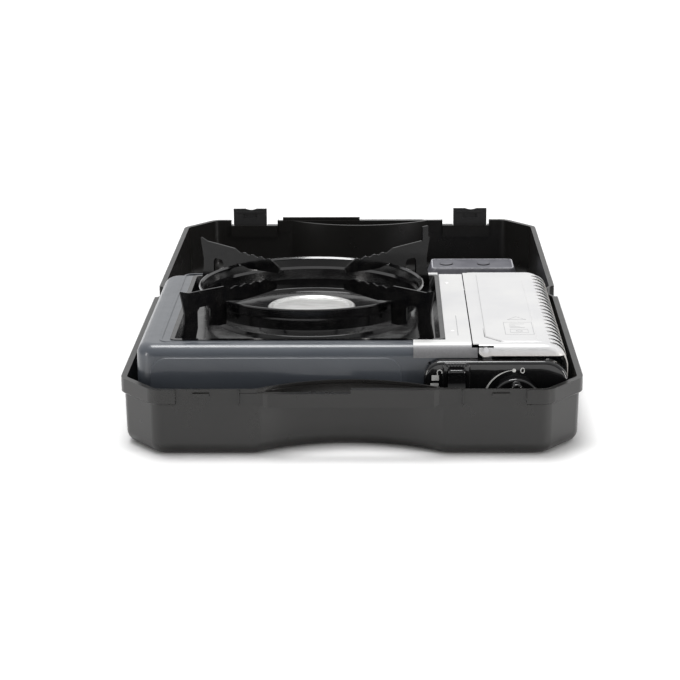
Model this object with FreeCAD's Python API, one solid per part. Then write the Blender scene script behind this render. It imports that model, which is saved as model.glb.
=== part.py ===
import FreeCAD
import Part
import math
import os

# A one-burner camping stove for a butane cartridge, standing in its carry case.
# The case is two moulded trays joined by a hinge: the base holds the stove and the
# lid lies open behind it. The stove lifts out of the base, and its trivet lifts off.
# Frame: millimetres, +X to the right, +Y from the front of the case to the lid, +Z up.
# The origin is on the floor, under the middle of the hinge between base and lid.

V = FreeCAD.Vector
ROOT2 = math.sqrt(2)

# ---------------------------------------------------------------- carry case
CASE_WIDTH = 385.0          # over the rim bands
CASE_REACH = 332.0          # hinge axis to the front plane of one half
HALF_HEIGHT = 57.0          # one half, floor to rim
CASE_WALL = 2.4
CASE_DRAFT = 1.2            # the walls lean in by this much towards the floor
BAND_HEIGHT = 12.8          # rim band, standing proud of the wall
BAND_PROUD = 2.6
BAND_END = 21.0             # the band stops this far before the hinge axis
CORNER_CUT = (29.0, 37.0)   # front corners, along X and along Y
HEEL_CUT = (6.0, 15.0)      # hinge-side corners
CORNER_ROUND = 13.0         # plan corners, a little over the toe round
TOE_ROUND = 10.5            # bottom edge, outside
HINGE_GAP = 6.0             # tray wall to the hinge axis
GRIP_HALF = 80.0            # finger recess behind the handle bar
GRIP_DEPTH = 30.0
GRIP_ROUND = 13.0           # where the recess meets the front wall
GRIP_LEDGE = 1.2
BAR_HALF = 91.0             # handle bar
BAR_DEPTH = 7.0
BAR_SET_BACK = 2.0          # bar ends behind its middle
BAR_MIDDLE = 68.0
BAR_RAMP = 4.0
BAR_STEP = 3.4              # the two handle bars interlock with a step
BAR_STEP_AT = 0.0
BAR_SLIP = 0.3
TONGUE_THICK = 3.4
KNUCKLE_RADIUS = 4.5
HINGE_PIN_RADIUS = 2.0
PIN_SLIP = 0.08
HINGE_PLACE = 110.0         # middle of each hinge, from the middle of the case
KNUCKLE_HALF = 14.0
KNUCKLE_MIDDLE = 5.5        # half the lid's knuckle
KNUCKLE_SLIP = 0.5

# latches on the lid, and the gaps in both bands that take them
LATCH_GAP = (92.0, 143.5)
LATCH_PLACE = 122.5
LATCH_WIDTH = 37.0
LATCH_PLATE = 2.0
LATCH_RISE = 12.7           # above the rim
LATCH_PIVOT_DROP = 10.0     # pivot below the rim
LATCH_PIN = 1.1
LATCH_PIN_SLIP = 0.07
LATCH_SLIP = 0.5
LATCH_SKIN = 0.6            # left behind the window for the catch
LATCH_WAVE = (14.0, 1.4)    # hollow in the top edge, its radius and depth
LATCH_WAVE_PLACE = 1.0
POCKET_DROP = 16.0          # pocket in the lid wall, below the rim
POCKET_DEPTH = 3.8
POCKET_RIM_DROP = 5.2
CATCH_SIZE = (14.0, 3.0)    # catch on the base, along X and Z
CATCH_DROP = 6.2
CATCH_PROUD = 1.8

# raised step moulded in the lid's floor, behind the cartridge cover
STEP_X = (78.0, 166.0)
STEP_Y = (222.0, 266.0)
STEP_HIGH = 26.0
STEP_SLOPE = 9.0            # its foot reaches out by this much
STEP_CORNER = 5.0
STEP_BOSS_X = (94.0, 134.0)
STEP_BOSS_RADIUS = 7.0
STEP_BOSS_HIGH = 1.2

# ---------------------------------------------------------------- stove casing
STOVE_SIDE_CLEAR = 7.5      # to the case walls
STOVE_FRONT_CLEAR = 3.6     # to the finger recess
STOVE_BACK_CLEAR = 24.6
REST_SLIP = 0.3             # under whatever lifts off
FOOT_HEIGHT = 5.4
FOOT_RADIUS = 9.0
FOOT_INSET = 26.0
FOOT_EDGE = 1.5
STOVE_HEIGHT = 75.1         # underside to the painted top
FRONT_LEAN = 6.0            # the front face leans back by this much at the top
SHEET = 0.8
TOP_ROLL = 10.0
PLAN_ROUND = 16.0
SKIRT_LOW = 6.0             # top plate's skirt ends this far above the underside
CASING_LAP = 0.4            # lower casing inside the skirt
CASING_DROP = 25.2          # casing's edge below the painted top
VENT_SIZE = (28.0, 4.0)     # air slots in the casing floor, along X and Y
VENT_PITCH = 60.0
VENT_ROWS = (-50, -42, 42, 50)
PAD_LEFT = 12.0             # raised pad on the painted front
PAD_RIGHT = 222.0
PAD_TOP = 10.0
PAD_HIGH = 54.0
PAD_PROUD = 0.9
PAD_ROUND = 14.0
BEAD_OUT = 9.0              # bead pressed round the pan: its distance at the left and the back
BEAD_FRONT = 4.5            # and in front
BEAD_WIDE = 2.2
BEAD_HIGH = 0.6
BEAD_ROUND = 9.0
CARTRIDGE_RADIUS = 33.0     # standard bayonet butane cartridge
CARTRIDGE_SIDE = 3.5
CARTRIDGE_LENGTH = 188.0
BAY_SPARE = 13.5            # bay width over the cartridge
PARTITION_FOOT = 8.0        # heat wall's foot, and the air holes near its top
PARTITION_HOLE = 4.0
PARTITION_HOLES = 8
PARTITION_PITCH = 24.0
SEAM = 0.5                  # bay edge to cover, and to deck plate
PLATE_STOP = 1.5            # painted plate stops this far before the bay
DECK_STRIP = 22.25          # deck plate between drip pan and cover
DECK_TAIL = 27.0            # deck plate runs on to the left in front of the pan
DECK_TOE = 4.3              # and to the right in front of the cover
DIMPLE_IN = 6.6             # dimples from the pan's edge, and from the stove's ends
DIMPLE_ENDS = (49.0, 44.0)
PAN_FRONT = 21.5            # drip pan edge from the front face
PAN_BACK = 10.5
PAN_LEFT = 27.25
PAN_SLIP = 0.3
LIP_DROP = 10.4             # front lip of the deck plate
COVER_FRONT = 2.0           # cover's front edge behind the front face's foot
COVER_BACK = 2.0            # cover's back edge beyond the casing
COVER_LIP = 9.0
COVER_SKIRT = 40.0          # depth of the cover's side
COVER_ROLL = 20.0
COVER_EDGE = 5.0
COVER_PAD = 0.8
HINGE_INSET = 10.5          # cover's pivot from its edge
HINGE_DEPTH = 3.4           # cover's pivot below the top
HINGE_LUG = 6.5
HINGE_EYE = 2.3
COVER_PIN = 1.5
NOTCH_WIDE = 4.8            # cover's corner notches at the hinge
NOTCH_DEEP = 6.0
LOUVRES = 20
LOUVRE_PITCH = 12.4
LOUVRE_WIDTH = 1.6
LOUVRE_LONG = 15.0
LOUVRE_SLANT = 24.0

# ---------------------------------------------------------------- pan and trivet
PAN_FLANGE = 3.0
PAN_SHEET = 0.9
PAN_DEPTH = 7.8
PAN_SLOPE = 3.5
PAN_CORNER = 3.0
DISH_RADIUS = 84.0
DISH_BEAD = 2.4
DISH_DEPTH = 4.0
THROAT_RADIUS = 46.0
THROAT_COLLAR = 5.0
FOOT_GAP = 2.6              # trivet foot to the pan's wall
RING_GAP = 6.8              # trivet ring inside the feet
RING_TOP_HIGH = 29.3
RING_HEIGHT = 19.6
RING_TAPER = 6.0
RING_WALL = 1.2
RING_BEAD = 3.2
ARM_SHEET = 1.6
ARM_TOP = 46.7              # arm tip above the pan floor
TAB_RISE = 10.5             # extra rise of the tab on one arm
TAB_PLACE = (9.5, 2.0)      # tab's inner and outer edge inside the arm's tip
ARM_INNER = 41.5
ARM_WAVES = 4

# ---------------------------------------------------------------- burner and gas line
CAP_RADIUS = 38.8
CAP_THICK = 3.4
PORT_RADIUS = 36.0
PORT_WALL = 3.0
PORT_RING_HIGH = 8.0
PORT_COUNT = 36
PORT_WIDE = 1.6
BOWL_HIGH = 15.0
BOWL_WALL = 2.0
NECK_RADIUS = 14.0
NECK_HIGH = 18.0
TUBE_RADIUS = 8.0
TUBE_WALL = 1.0
TUBE_SHORT = 23.5           # mouth of the mixing tube inside the pan's right edge
TUBE_RISE = 9.5             # tube axis above the neck's foot
PIPE_RADIUS = 3.0
PIPE_BEND = 12.0
PIPE_ASIDE = 16.0           # pipe's run beside the jet
BRACKET_SIZE = (52.0, 22.0)
BRACKET_SHEET = 1.2
BRACKET_TOE = 10.0
JET_GAP = 12.0              # jet's hexagon from the mixing tube's mouth
JET_HEX = (5.2, 7.0)        # its corner radius and length
JET_TIP = (3.4, 1.6, 6.0)   # its nose: foot and tip radius, length
JET_BORE = 0.6
REGULATOR_SET_BACK = 8.0
REGULATOR_RADIUS = 16.0
REGULATOR_LONG = 30.0
REGULATOR_EDGE = 2.0
FLANGE_HALF = 18.0          # regulator's mounting flange, and its place along the drum
FLANGE_Y = (6.0, 9.0)
NOZZLE_RADIUS = 9.0
NOZZLE_LONG = 8.0
NOZZLE_BORE = 4.6
NOZZLE_FLOOR = 2.0          # closed depth behind the bore
PROBE_RADIUS = 1.4
SEAL_SIZE = (4.5, 2.4, 2.4)  # seal's outer and inner radius, thickness
STEM_RADIUS = 3.0
STEM_SLIP = 0.05
STEM_IN = 12.0
IGNITER_ASIDE = 25.5        # igniter's axis from the stem's, to the left and down
IGNITER_DROP = 12.0
IGNITER_BODY = (5.5, 22.0)  # radius and length of its body, and of its nose
IGNITER_NOSE = (3.6, 5.0)
SPARK_ANGLE = -35.0         # electrode's place round the burner
SPARK_RADIUS = 0.75
SPARK_LOW = 17.0            # electrode's foot above the neck's
SLEEVE = (2.2, 3.0, 22.0)   # ceramic sleeve: radius, collar radius, length
SLEEVE_BORE = 0.8
LEAD_RADIUS = 1.0
LEAD_BEND = 4.0
LEAD_NOTCH = 4.5

# ---------------------------------------------------------------- controls
PANEL_LEFT = 120.0          # panel's left end, from the stove's right side
PANEL_TOP = 10.9            # below the painted top
PANEL_LIFT = 6.2            # panel's foot above the stove's underside
PANEL_PROUD = 5.0
PANEL_BEVEL = 3.0
PANEL_ROUND_LEFT = 15.0
PANEL_ROUND_RIGHT = 20.0
PANEL_WALL = 2.0
KNOB_RADIUS = 20.5
KNOB_DEEP = 17.0
KNOB_SLIP = 0.8
KNOB_DROP = 44.5            # knob axis below the painted top
GRIP_BAR = 9.0
LEVER_WIDE = 14.5
LEVER_HIGH = 19.0
LEVER_PROUD = 8.5
LEVER_LEFT = 13.5           # lever middle, left of the cartridge bay
LEVER_DROP = 25.5           # lever middle below the painted top
LEVER_TRAVEL = 14.0
LEVER_NECK = 7.0
LEVER_SLIP = 0.5
HOOD_WIDE = 23.0
HOOD_PROUD = 2.2
PUSH_TRAVEL = 5.6
RAIL_SHEET = 1.2
RAIL_SLIP = 0.3
CAM_PIN = 1.5
CAM_SLIP = 0.2
SLOT_HALF = 5.0             # half the neck's height
RAIL_HIGH = 10.0
PUSHER_HALF = 14.0
PUSHER_FOOT = 6.0
CRADLE_HALF = 29.0
CRADLE_HIGH = 16.0
CRADLE_START = 28.0         # first saddle behind the regulator, and the gap to the second
CRADLE_GAP = 120.0
KNOB_DISC = 6.5             # knob's skirt
KNOB_EDGE = 2.0
SCREW_HEAD = 3.0
SCREW_OUT = 5.5             # bracket screws outside its legs
SCREW_SLIP = 0.2
SCREW_SHANK = 1.6

# ---------------------------------------------------------------- places that follow
CASE_HALF = CASE_WIDTH / 2
SKIN = BAND_PROUD + CASE_WALL
GRIP_RADIUS = (GRIP_HALF ** 2 + GRIP_DEPTH ** 2) / (2 * GRIP_DEPTH)
GRIP_CENTRE = -CASE_REACH + GRIP_DEPTH - GRIP_RADIUS
BAND_LOW = HALF_HEIGHT - BAND_HEIGHT
WALL_FRONT = -CASE_REACH + BAND_PROUD
STOVE_BOTTOM = CASE_WALL + REST_SLIP + FOOT_HEIGHT
STOVE_FLOOR = STOVE_BOTTOM + SHEET
STOVE_TOP = STOVE_BOTTOM + STOVE_HEIGHT
DECK_TOP = STOVE_TOP + SHEET
STOVE_HALF = CASE_HALF - SKIN - STOVE_SIDE_CLEAR
STOVE_FRONT = -CASE_REACH + GRIP_DEPTH + CASE_WALL + STOVE_FRONT_CLEAR
STOVE_BACK = -(HINGE_GAP + CASE_WALL + STOVE_BACK_CLEAR)
BAY_WIDTH = 2 * CARTRIDGE_RADIUS + BAY_SPARE
BAY_LEFT = STOVE_HALF - BAY_WIDTH
PLATE_RIGHT = BAY_LEFT - PLATE_STOP
PAN_SIDE = min(STOVE_BACK - STOVE_FRONT - PAN_FRONT - PAN_BACK,
               BAY_LEFT - DECK_STRIP + STOVE_HALF - PAN_LEFT)
PAN_HALF = PAN_SIDE / 2
BURNER_X = BAY_LEFT - DECK_STRIP - PAN_HALF
TUBE_MOUTH = BURNER_X + PAN_HALF - TUBE_SHORT
BURNER_Y = STOVE_FRONT + PAN_FRONT + PAN_HALF
PAN_TOP = STOVE_TOP + PAN_SHEET
PAN_FLOOR = PAN_TOP - PAN_DEPTH
CAP_TOP = DECK_TOP
PORT_LOW = CAP_TOP - CAP_THICK - PORT_RING_HIGH
BOWL_LOW = PORT_LOW - BOWL_HIGH
NECK_LOW = BOWL_LOW - NECK_HIGH
TUBE_Z = NECK_LOW + TUBE_RISE
ARM_FOOT = (PAN_HALF - PAN_FLANGE - PAN_SLOPE - FOOT_GAP) * ROOT2
RING_RADIUS = ARM_FOOT / ROOT2 - RING_GAP
CARTRIDGE_X = BAY_LEFT + CARTRIDGE_RADIUS + CARTRIDGE_SIDE
CARTRIDGE_Z = STOVE_FLOOR + CARTRIDGE_RADIUS + 1.2
KNOB_X = CARTRIDGE_X - 1.0
KNOB_Z = STOVE_TOP - KNOB_DROP
PANEL_FACE = STOVE_FRONT - PANEL_PROUD
PANEL_END = STOVE_HALF - PANEL_LEFT
PANEL_ROOF = STOVE_TOP - PANEL_TOP
CASING_TOP = STOVE_TOP - CASING_DROP
IGNITER_Z = max(KNOB_Z - IGNITER_DROP, STOVE_FLOOR + IGNITER_BODY[0] + SHEET)
LEVER_X = BAY_LEFT - LEVER_LEFT
LEVER_Z = STOVE_TOP - LEVER_DROP
COVER_LEFT = BAY_LEFT + SEAM
PIVOT_X = COVER_LEFT + HINGE_INSET
PIVOT_Z = DECK_TOP - HINGE_DEPTH
COVER_Y = (STOVE_FRONT + COVER_FRONT, STOVE_BACK + COVER_BACK)
PARTITION_X = BAY_LEFT - 6.0
REGULATOR_Y = STOVE_FRONT + REGULATOR_SET_BACK
REGULATOR_END = REGULATOR_Y + REGULATOR_LONG
LEAD_Y = REGULATOR_END + 20.0
RAIL_X = BAY_LEFT - 2.5
CAM_Y = STOVE_FRONT + 18.0
RAIL_Z = STOVE_FLOOR + 3.2
PUSHER_Y = REGULATOR_END + NOZZLE_LONG + CARTRIDGE_LENGTH + PUSH_TRAVEL - 2.0


# ---------------------------------------------------------------- building blocks
def box(x, y, z):
    """A box from three (low, high) pairs."""
    return Part.makeBox(x[1] - x[0], y[1] - y[0], z[1] - z[0], V(x[0], y[0], z[0]))


def rod(start, along, radius, length):
    return Part.makeCylinder(radius, length, V(*start), V(*along))


def pipe(start, along, outer, inner, length):
    return rod(start, along, outer, length).cut(rod(start, along, inner, length))


def prism(points, push):
    """A straight extrusion of a closed outline of 3-D points."""
    outline = [V(*p) for p in points]
    return Part.Face(Part.makePolygon(outline + outline[:1])).extrude(V(*push))


def spun(points, x, y):
    """A solid turned about the vertical axis at x, y from (radius, height) points."""
    outline = [V(x + r, y, z) for r, z in points]
    face = Part.Face(Part.makePolygon(outline + outline[:1]))
    return face.revolve(V(x, y, 0), V(0, 0, 1), 360)


def rounded(u, v, radii, depth):
    """A plate in the XY plane with its own radius at each corner, counter-clockwise from low u, low v."""
    corners = [(u[0], v[0]), (u[1], v[0]), (u[1], v[1]), (u[0], v[1])]
    outline = rounded_wire(corners, radii, 0.0)
    return Part.Face(outline).extrude(V(0, 0, depth))


def rounded_wire(corners, radii, z):
    """A closed outline with each corner replaced by an arc, or left sharp at radius 0."""
    edges = []
    stops = []
    count = len(corners)
    for i, (corner, radius) in enumerate(zip(corners, radii)):
        here = V(corner[0], corner[1], z)
        back = V(corners[i - 1][0], corners[i - 1][1], z) - here
        ahead = V(corners[(i + 1) % count][0], corners[(i + 1) % count][1], z) - here
        half = back.getAngle(ahead) / 2
        back.normalize()
        ahead.normalize()
        reach = radius / math.tan(half)
        first, last = here + back * reach, here + ahead * reach
        stops.append((first, last))
        if radius > 0:
            middle = here + (back + ahead).normalize() * (radius / math.sin(half) - radius)
            edges.append((i, Part.Arc(first, middle, last).toShape()))
    lines = [(i + 0.5, Part.makeLine(stops[i][1], stops[(i + 1) % count][0]))
             for i in range(count)]
    ordered = [e for _, e in sorted(edges + lines, key=lambda pair: pair[0])]
    return Part.Wire(ordered)


def facing_front(shape, y):
    """Stands a plate drawn in XY up in XZ, with its face at y and its depth running to -Y."""
    shape.rotate(V(0, 0, 0), V(1, 0, 0), 90)
    shape.translate(V(0, y, 0))
    return shape


def inset(points, by):
    """A convex counter-clockwise outline with every edge moved inwards."""
    lines = []
    for (ax, ay), (bx, by_) in zip(points, points[1:] + points[:1]):
        length = math.hypot(bx - ax, by_ - ay)
        nx, ny = -(by_ - ay) / length, (bx - ax) / length
        lines.append((nx, ny, nx * ax + ny * ay + by))
    moved = []
    for (a, b, c), (d, e, f) in zip(lines[-1:] + lines[:-1], lines):
        det = a * e - b * d
        moved.append(((c * e - b * f) / det, (a * f - c * d) / det))
    return moved


def joined(shapes):
    return shapes[0].multiFuse(shapes[1:]).removeSplitter() if len(shapes) > 1 else shapes[0]


def placed_route(points, radius_at_bends):
    """A wire of straight runs joined by tangent arcs."""
    path = []
    last = V(*points[0])
    for before, here, after in zip(points, points[1:], points[2:]):
        p = V(*here)
        back, ahead = (V(*before) - p), (V(*after) - p)
        half = back.getAngle(ahead) / 2
        back.normalize()
        ahead.normalize()
        reach = radius_at_bends / math.tan(half)
        start, stop = p + back * reach, p + ahead * reach
        middle = p + (back + ahead).normalize() * (radius_at_bends / math.sin(half) - radius_at_bends)
        path += [Part.makeLine(last, start), Part.Arc(start, middle, stop).toShape()]
        last = stop
    path.append(Part.makeLine(last, V(*points[-1])))
    return Part.Wire(path)


def swept_rod(points, radius, bend):
    route = placed_route(points, bend)
    start = V(*points[0])
    along = V(*points[1]) - start
    section = Part.Wire(Part.makeCircle(radius, start, along))
    return route.makePipeShell([section], True, True)


def screw(x, y, z, along, long):
    """A pan-head screw whose head stands on x, y, z and whose shank runs along."""
    out = V(*along) * -1
    head = Part.makeCylinder(SCREW_HEAD, 1.6, V(x, y, z), out)
    dome = Part.makeCone(SCREW_HEAD, SCREW_HEAD * 0.7, 0.8, V(x, y, z) + out * 1.6, out)
    slot = Part.makeCylinder(1.1, 1.2, V(x, y, z) + out * 1.4, out)
    shank = Part.makeCylinder(SCREW_SHANK, long, V(x, y, z), V(*along))
    return joined([head, dome, shank]).cut(slot)


# ---------------------------------------------------------------- case trays
def tray_plan(grow=0.0):
    """Plan of one tray wall, counter-clockwise from the front left, moved outwards."""
    w = CASE_HALF - BAND_PROUD
    cut_x, cut_y = CORNER_CUT
    heel_x, heel_y = HEEL_CUT
    heel = -HINGE_GAP - heel_y
    points = [(cut_x - w, WALL_FRONT), (w - cut_x, WALL_FRONT), (w, WALL_FRONT + cut_y), (w, heel),
              (w - heel_x, -HINGE_GAP), (heel_x - w, -HINGE_GAP), (-w, heel),
              (-w, WALL_FRONT + cut_y)]
    return inset(points, -grow)


def tray_block(shrink, low, high):
    """Drafted solid of one tray with its finger recess; shrink moves the walls inwards."""
    radii = [CORNER_ROUND - shrink] * 8
    wires = [rounded_wire(tray_plan(-shrink - CASE_DRAFT), radii, low),
             rounded_wire(tray_plan(-shrink), radii, high)]
    block = Part.makeLoft(wires, True, True)
    recess = rod((0, GRIP_CENTRE, low - 1), (0, 0, 1), GRIP_RADIUS + shrink, high - low + 2)
    block = block.cut(recess)
    corners = [e for e in block.Edges if abs(e.tangentAt(e.FirstParameter).z) > 0.9
               and e.BoundBox.YMax < WALL_FRONT + shrink + CASE_DRAFT + 1
               and e.BoundBox.XMax * e.BoundBox.XMin > 0
               and abs(e.CenterOfMass.x) < GRIP_HALF + 15]
    block = block.makeFillet(GRIP_ROUND - shrink, corners)
    toe = [e for e in block.Edges if e.BoundBox.ZMax < low + 0.01]
    return block.makeFillet(TOE_ROUND - shrink, toe)


def rim_band():
    """The band round the rim, open at the hinge, at the latches and at the handle bar."""
    radii = [CORNER_ROUND + BAND_PROUD] * 8
    band = Part.Face(rounded_wire(tray_plan(BAND_PROUD), radii, BAND_LOW))
    band = band.extrude(V(0, 0, BAND_HEIGHT))
    lower = [e for e in band.Edges if e.BoundBox.ZMax < BAND_LOW + 0.01]
    band = band.makeChamfer(0.8, lower)
    reach = CASE_HALF + 5
    band = band.cut(box((-reach, reach), (-BAND_END, 5), (0, HALF_HEIGHT + 1)))
    front = (-CASE_REACH - 5, WALL_FRONT)
    band = band.cut(box((-BAR_HALF, BAR_HALF), (front[0], WALL_FRONT), (0, HALF_HEIGHT + 1)))
    band = band.cut(rod((0, GRIP_CENTRE, 0), (0, 0, 1), GRIP_RADIUS, HALF_HEIGHT + 1))
    for side in (-1, 1):
        ends = sorted((side * LATCH_GAP[0], side * LATCH_GAP[1]))
        band = band.cut(box(ends, front, (0, HALF_HEIGHT + 1)))
    return band


def handle_bar():
    """The bar across the finger recess, its middle stretch proud of its ends."""
    face, back = -CASE_REACH, -CASE_REACH + BAR_DEPTH
    low = BAND_LOW - BAR_SET_BACK
    ramp = BAR_MIDDLE + BAR_RAMP
    plan = [(-BAR_HALF, back), (-BAR_HALF, face + BAR_SET_BACK), (-ramp, face + BAR_SET_BACK),
            (-BAR_MIDDLE, face), (BAR_MIDDLE, face), (ramp, face + BAR_SET_BACK),
            (BAR_HALF, face + BAR_SET_BACK), (BAR_HALF, back)]
    bar = prism([(x, y, low) for x, y in plan], (0, 0, HALF_HEIGHT - low))
    for side in (-1, 1):
        under = [(side * BAR_MIDDLE, low), (side * ramp, BAND_LOW), (side * (BAR_HALF + 1), BAND_LOW),
                 (side * (BAR_HALF + 1), low - 1), (side * BAR_MIDDLE, low - 1)]
        bar = bar.cut(prism([(x, face - 1, z) for x, z in under], (0, BAR_DEPTH + 2, 0)))
    return bar


def knuckles(ranges, reach):
    """Hinge knuckles over each (low, high) X range, with arms to the tray wall at y = reach."""
    parts = []
    for ends in ranges:
        barrel = rod((ends[0], 0, HALF_HEIGHT), (1, 0, 0), KNUCKLE_RADIUS, ends[1] - ends[0])
        arm = box(ends, sorted((0, reach)), (HALF_HEIGHT - KNUCKLE_RADIUS, HALF_HEIGHT))
        bore = rod((ends[0] - 1, 0, HALF_HEIGHT), (1, 0, 0), HINGE_PIN_RADIUS + PIN_SLIP,
                   ends[1] - ends[0] + 2)
        parts.append(joined([barrel, arm]).cut(bore))
    return parts


def recess_ledge():
    """A thicker strip along the top of the finger recess."""
    x = GRIP_HALF - GRIP_ROUND - 2
    strip = pipe((0, GRIP_CENTRE, BAND_LOW), (0, 0, 1), GRIP_RADIUS + 0.4,
                 GRIP_RADIUS - GRIP_LEDGE, BAND_HEIGHT - 3)
    return strip.common(box((-x, x), (-CASE_REACH, 0), (0, HALF_HEIGHT)))


def tray():
    shell = tray_block(0, 0, HALF_HEIGHT).cut(tray_block(CASE_WALL, CASE_WALL, HALF_HEIGHT + 0.01))
    band = rim_band().cut(tray_block(CASE_WALL, CASE_WALL, HALF_HEIGHT + 0.01))
    return shell.fuse([band, recess_ledge()])


def make_case_base(plain):
    step = box((-BAR_HALF - 1, BAR_STEP_AT), (-CASE_REACH - 1, WALL_FRONT + 5),
               (HALF_HEIGHT - BAR_STEP, HALF_HEIGHT + 1))
    bar = handle_bar().cut(step)
    outer = (KNUCKLE_MIDDLE + KNUCKLE_SLIP, KNUCKLE_HALF)
    spans = []
    catches = []
    for side in (-1, 1):
        place = side * HINGE_PLACE
        spans += [sorted((place - outer[1], place - outer[0])),
                  sorted((place + outer[0], place + outer[1]))]
        middle = side * LATCH_PLACE
        top = HALF_HEIGHT - CATCH_DROP
        catches.append(box((middle - CATCH_SIZE[0] / 2, middle + CATCH_SIZE[0] / 2),
                           (WALL_FRONT - CATCH_PROUD, WALL_FRONT + 1),
                           (top, top + CATCH_SIZE[1])))
    return joined([plain, bar] + knuckles(spans, -HINGE_GAP - CASE_WALL / 2) + catches)


def lid_step(shrink):
    """The step in the lid's floor; shrink moves every face inwards."""
    wires = []
    for low, reach in ((0.0, STEP_SLOPE), (STEP_HIGH - shrink, 0.0)):
        by = reach - shrink
        corners = [(STEP_X[0] - by, STEP_Y[0] - by), (STEP_X[1] + by, STEP_Y[0] - by),
                   (STEP_X[1] + by, STEP_Y[1] + by), (STEP_X[0] - by, STEP_Y[1] + by)]
        wires.append(rounded_wire(corners, [STEP_CORNER + reach - shrink] * 4, low))
    return Part.makeLoft(wires, True, True)


def make_case_lid(plain):
    face = CASE_REACH - BAR_SET_BACK / 2 - TONGUE_THICK
    tongue = box((-BAR_HALF + 5, BAR_STEP_AT - BAR_SLIP), (face, face + TONGUE_THICK),
                 (HALF_HEIGHT - 2, HALF_HEIGHT + BAR_STEP - BAR_SLIP))
    bar = handle_bar().mirror(V(0, 0, 0), V(0, 1, 0)).fuse(tongue)
    lid = plain.mirror(V(0, 0, 0), V(0, 1, 0))
    middles = [(side * HINGE_PLACE - KNUCKLE_MIDDLE, side * HINGE_PLACE + KNUCKLE_MIDDLE)
               for side in (-1, 1)]
    lid = joined([lid, bar] + knuckles(middles, HINGE_GAP + CASE_WALL / 2))
    wall = -WALL_FRONT
    for side in (-1, 1):
        gap = sorted((side * LATCH_GAP[0], side * LATCH_GAP[1]))
        low = HALF_HEIGHT - POCKET_DROP
        rim = HALF_HEIGHT - POCKET_RIM_DROP
        boss = box((gap[0], gap[1]), (wall - POCKET_DEPTH - CASE_WALL, wall), (low - CASE_WALL, rim))
        half = LATCH_WIDTH / 2 + LATCH_SLIP
        pocket = box((side * LATCH_PLACE - half, side * LATCH_PLACE + half),
                     (wall - POCKET_DEPTH, wall + 9), (low, HALF_HEIGHT + 9))
        above = box(gap, (wall - 9, wall + 9), (rim, HALF_HEIGHT + 1))
        low_lug = HALF_HEIGHT - LATCH_PIVOT_DROP - 3
        lugs = box(gap, (wall - 1, CASE_REACH), (low_lug, rim))
        pin_z = HALF_HEIGHT - LATCH_PIVOT_DROP
        hole = rod((gap[0] + 1.2, CASE_REACH - LATCH_PLATE - 1, pin_z), (1, 0, 0),
                   LATCH_PIN + LATCH_PIN_SLIP, gap[1] - gap[0] - 2.4)
        lid = joined([lid, boss, lugs]).cut(pocket).cut(above).cut(hole)
    bosses = [rod((x, (STEP_Y[0] + STEP_Y[1]) / 2, STEP_HIGH - CASE_WALL), (0, 0, 1), STEP_BOSS_RADIUS,
                  CASE_WALL + STEP_BOSS_HIGH) for x in STEP_BOSS_X]
    return joined([lid, lid_step(0)] + bosses).cut(lid_step(CASE_WALL))


def make_hinge_pins():
    pins = []
    for side in (-1, 1):
        start = side * HINGE_PLACE - KNUCKLE_HALF
        pins.append(rod((start, 0, HALF_HEIGHT), (1, 0, 0), HINGE_PIN_RADIUS, 2 * KNUCKLE_HALF))
    return Part.makeCompound(pins)


def make_latch(side):
    """An upright clip with a blind window for the catch, a pin barrel and a hollowed top edge."""
    half = LATCH_WIDTH / 2
    x = side * LATCH_PLACE
    back, face = CASE_REACH - LATCH_PLATE, CASE_REACH
    top = HALF_HEIGHT + LATCH_RISE
    pin_z = HALF_HEIGHT - LATCH_PIVOT_DROP
    plate = box((x - half, x + half), (back, face), (pin_z, top))
    barrel = rod((x - half, back - 1, pin_z), (1, 0, 0), LATCH_PLATE + 1, LATCH_WIDTH)
    barrel = barrel.common(box((x - half, x + half), (back - 9, face), (0, top)))
    radius, deep = LATCH_WAVE
    wave = rod((x + LATCH_WAVE_PLACE, back - 1, top + radius - deep), (0, 1, 0), radius,
               LATCH_PLATE + 2)
    rib = box((x - half + 4, x + half - 4), (back - 1.0, back), (top - 4.6, top - 3.2))
    slack = 0.6
    catch_high = HALF_HEIGHT + CATCH_DROP
    window = box((x - CATCH_SIZE[0] / 2 - slack, x + CATCH_SIZE[0] / 2 + slack),
                 (back - 2, face - LATCH_SKIN), (catch_high - CATCH_SIZE[1] - slack, catch_high + slack))
    bore = rod((x - half - 1, back - 1, pin_z), (1, 0, 0), LATCH_PIN + LATCH_PIN_SLIP,
               LATCH_WIDTH + 2)
    return joined([plate, barrel, rib]).cut([window, bore, wave])


def make_latch_pins():
    pins = []
    for side in (-1, 1):
        gap = sorted((side * LATCH_GAP[0], side * LATCH_GAP[1]))
        pins.append(rod((gap[0] + 1.5, CASE_REACH - LATCH_PLATE - 1, HALF_HEIGHT - LATCH_PIVOT_DROP),
                        (1, 0, 0), LATCH_PIN, gap[1] - gap[0] - 3.0))
    return Part.makeCompound(pins)


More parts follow.
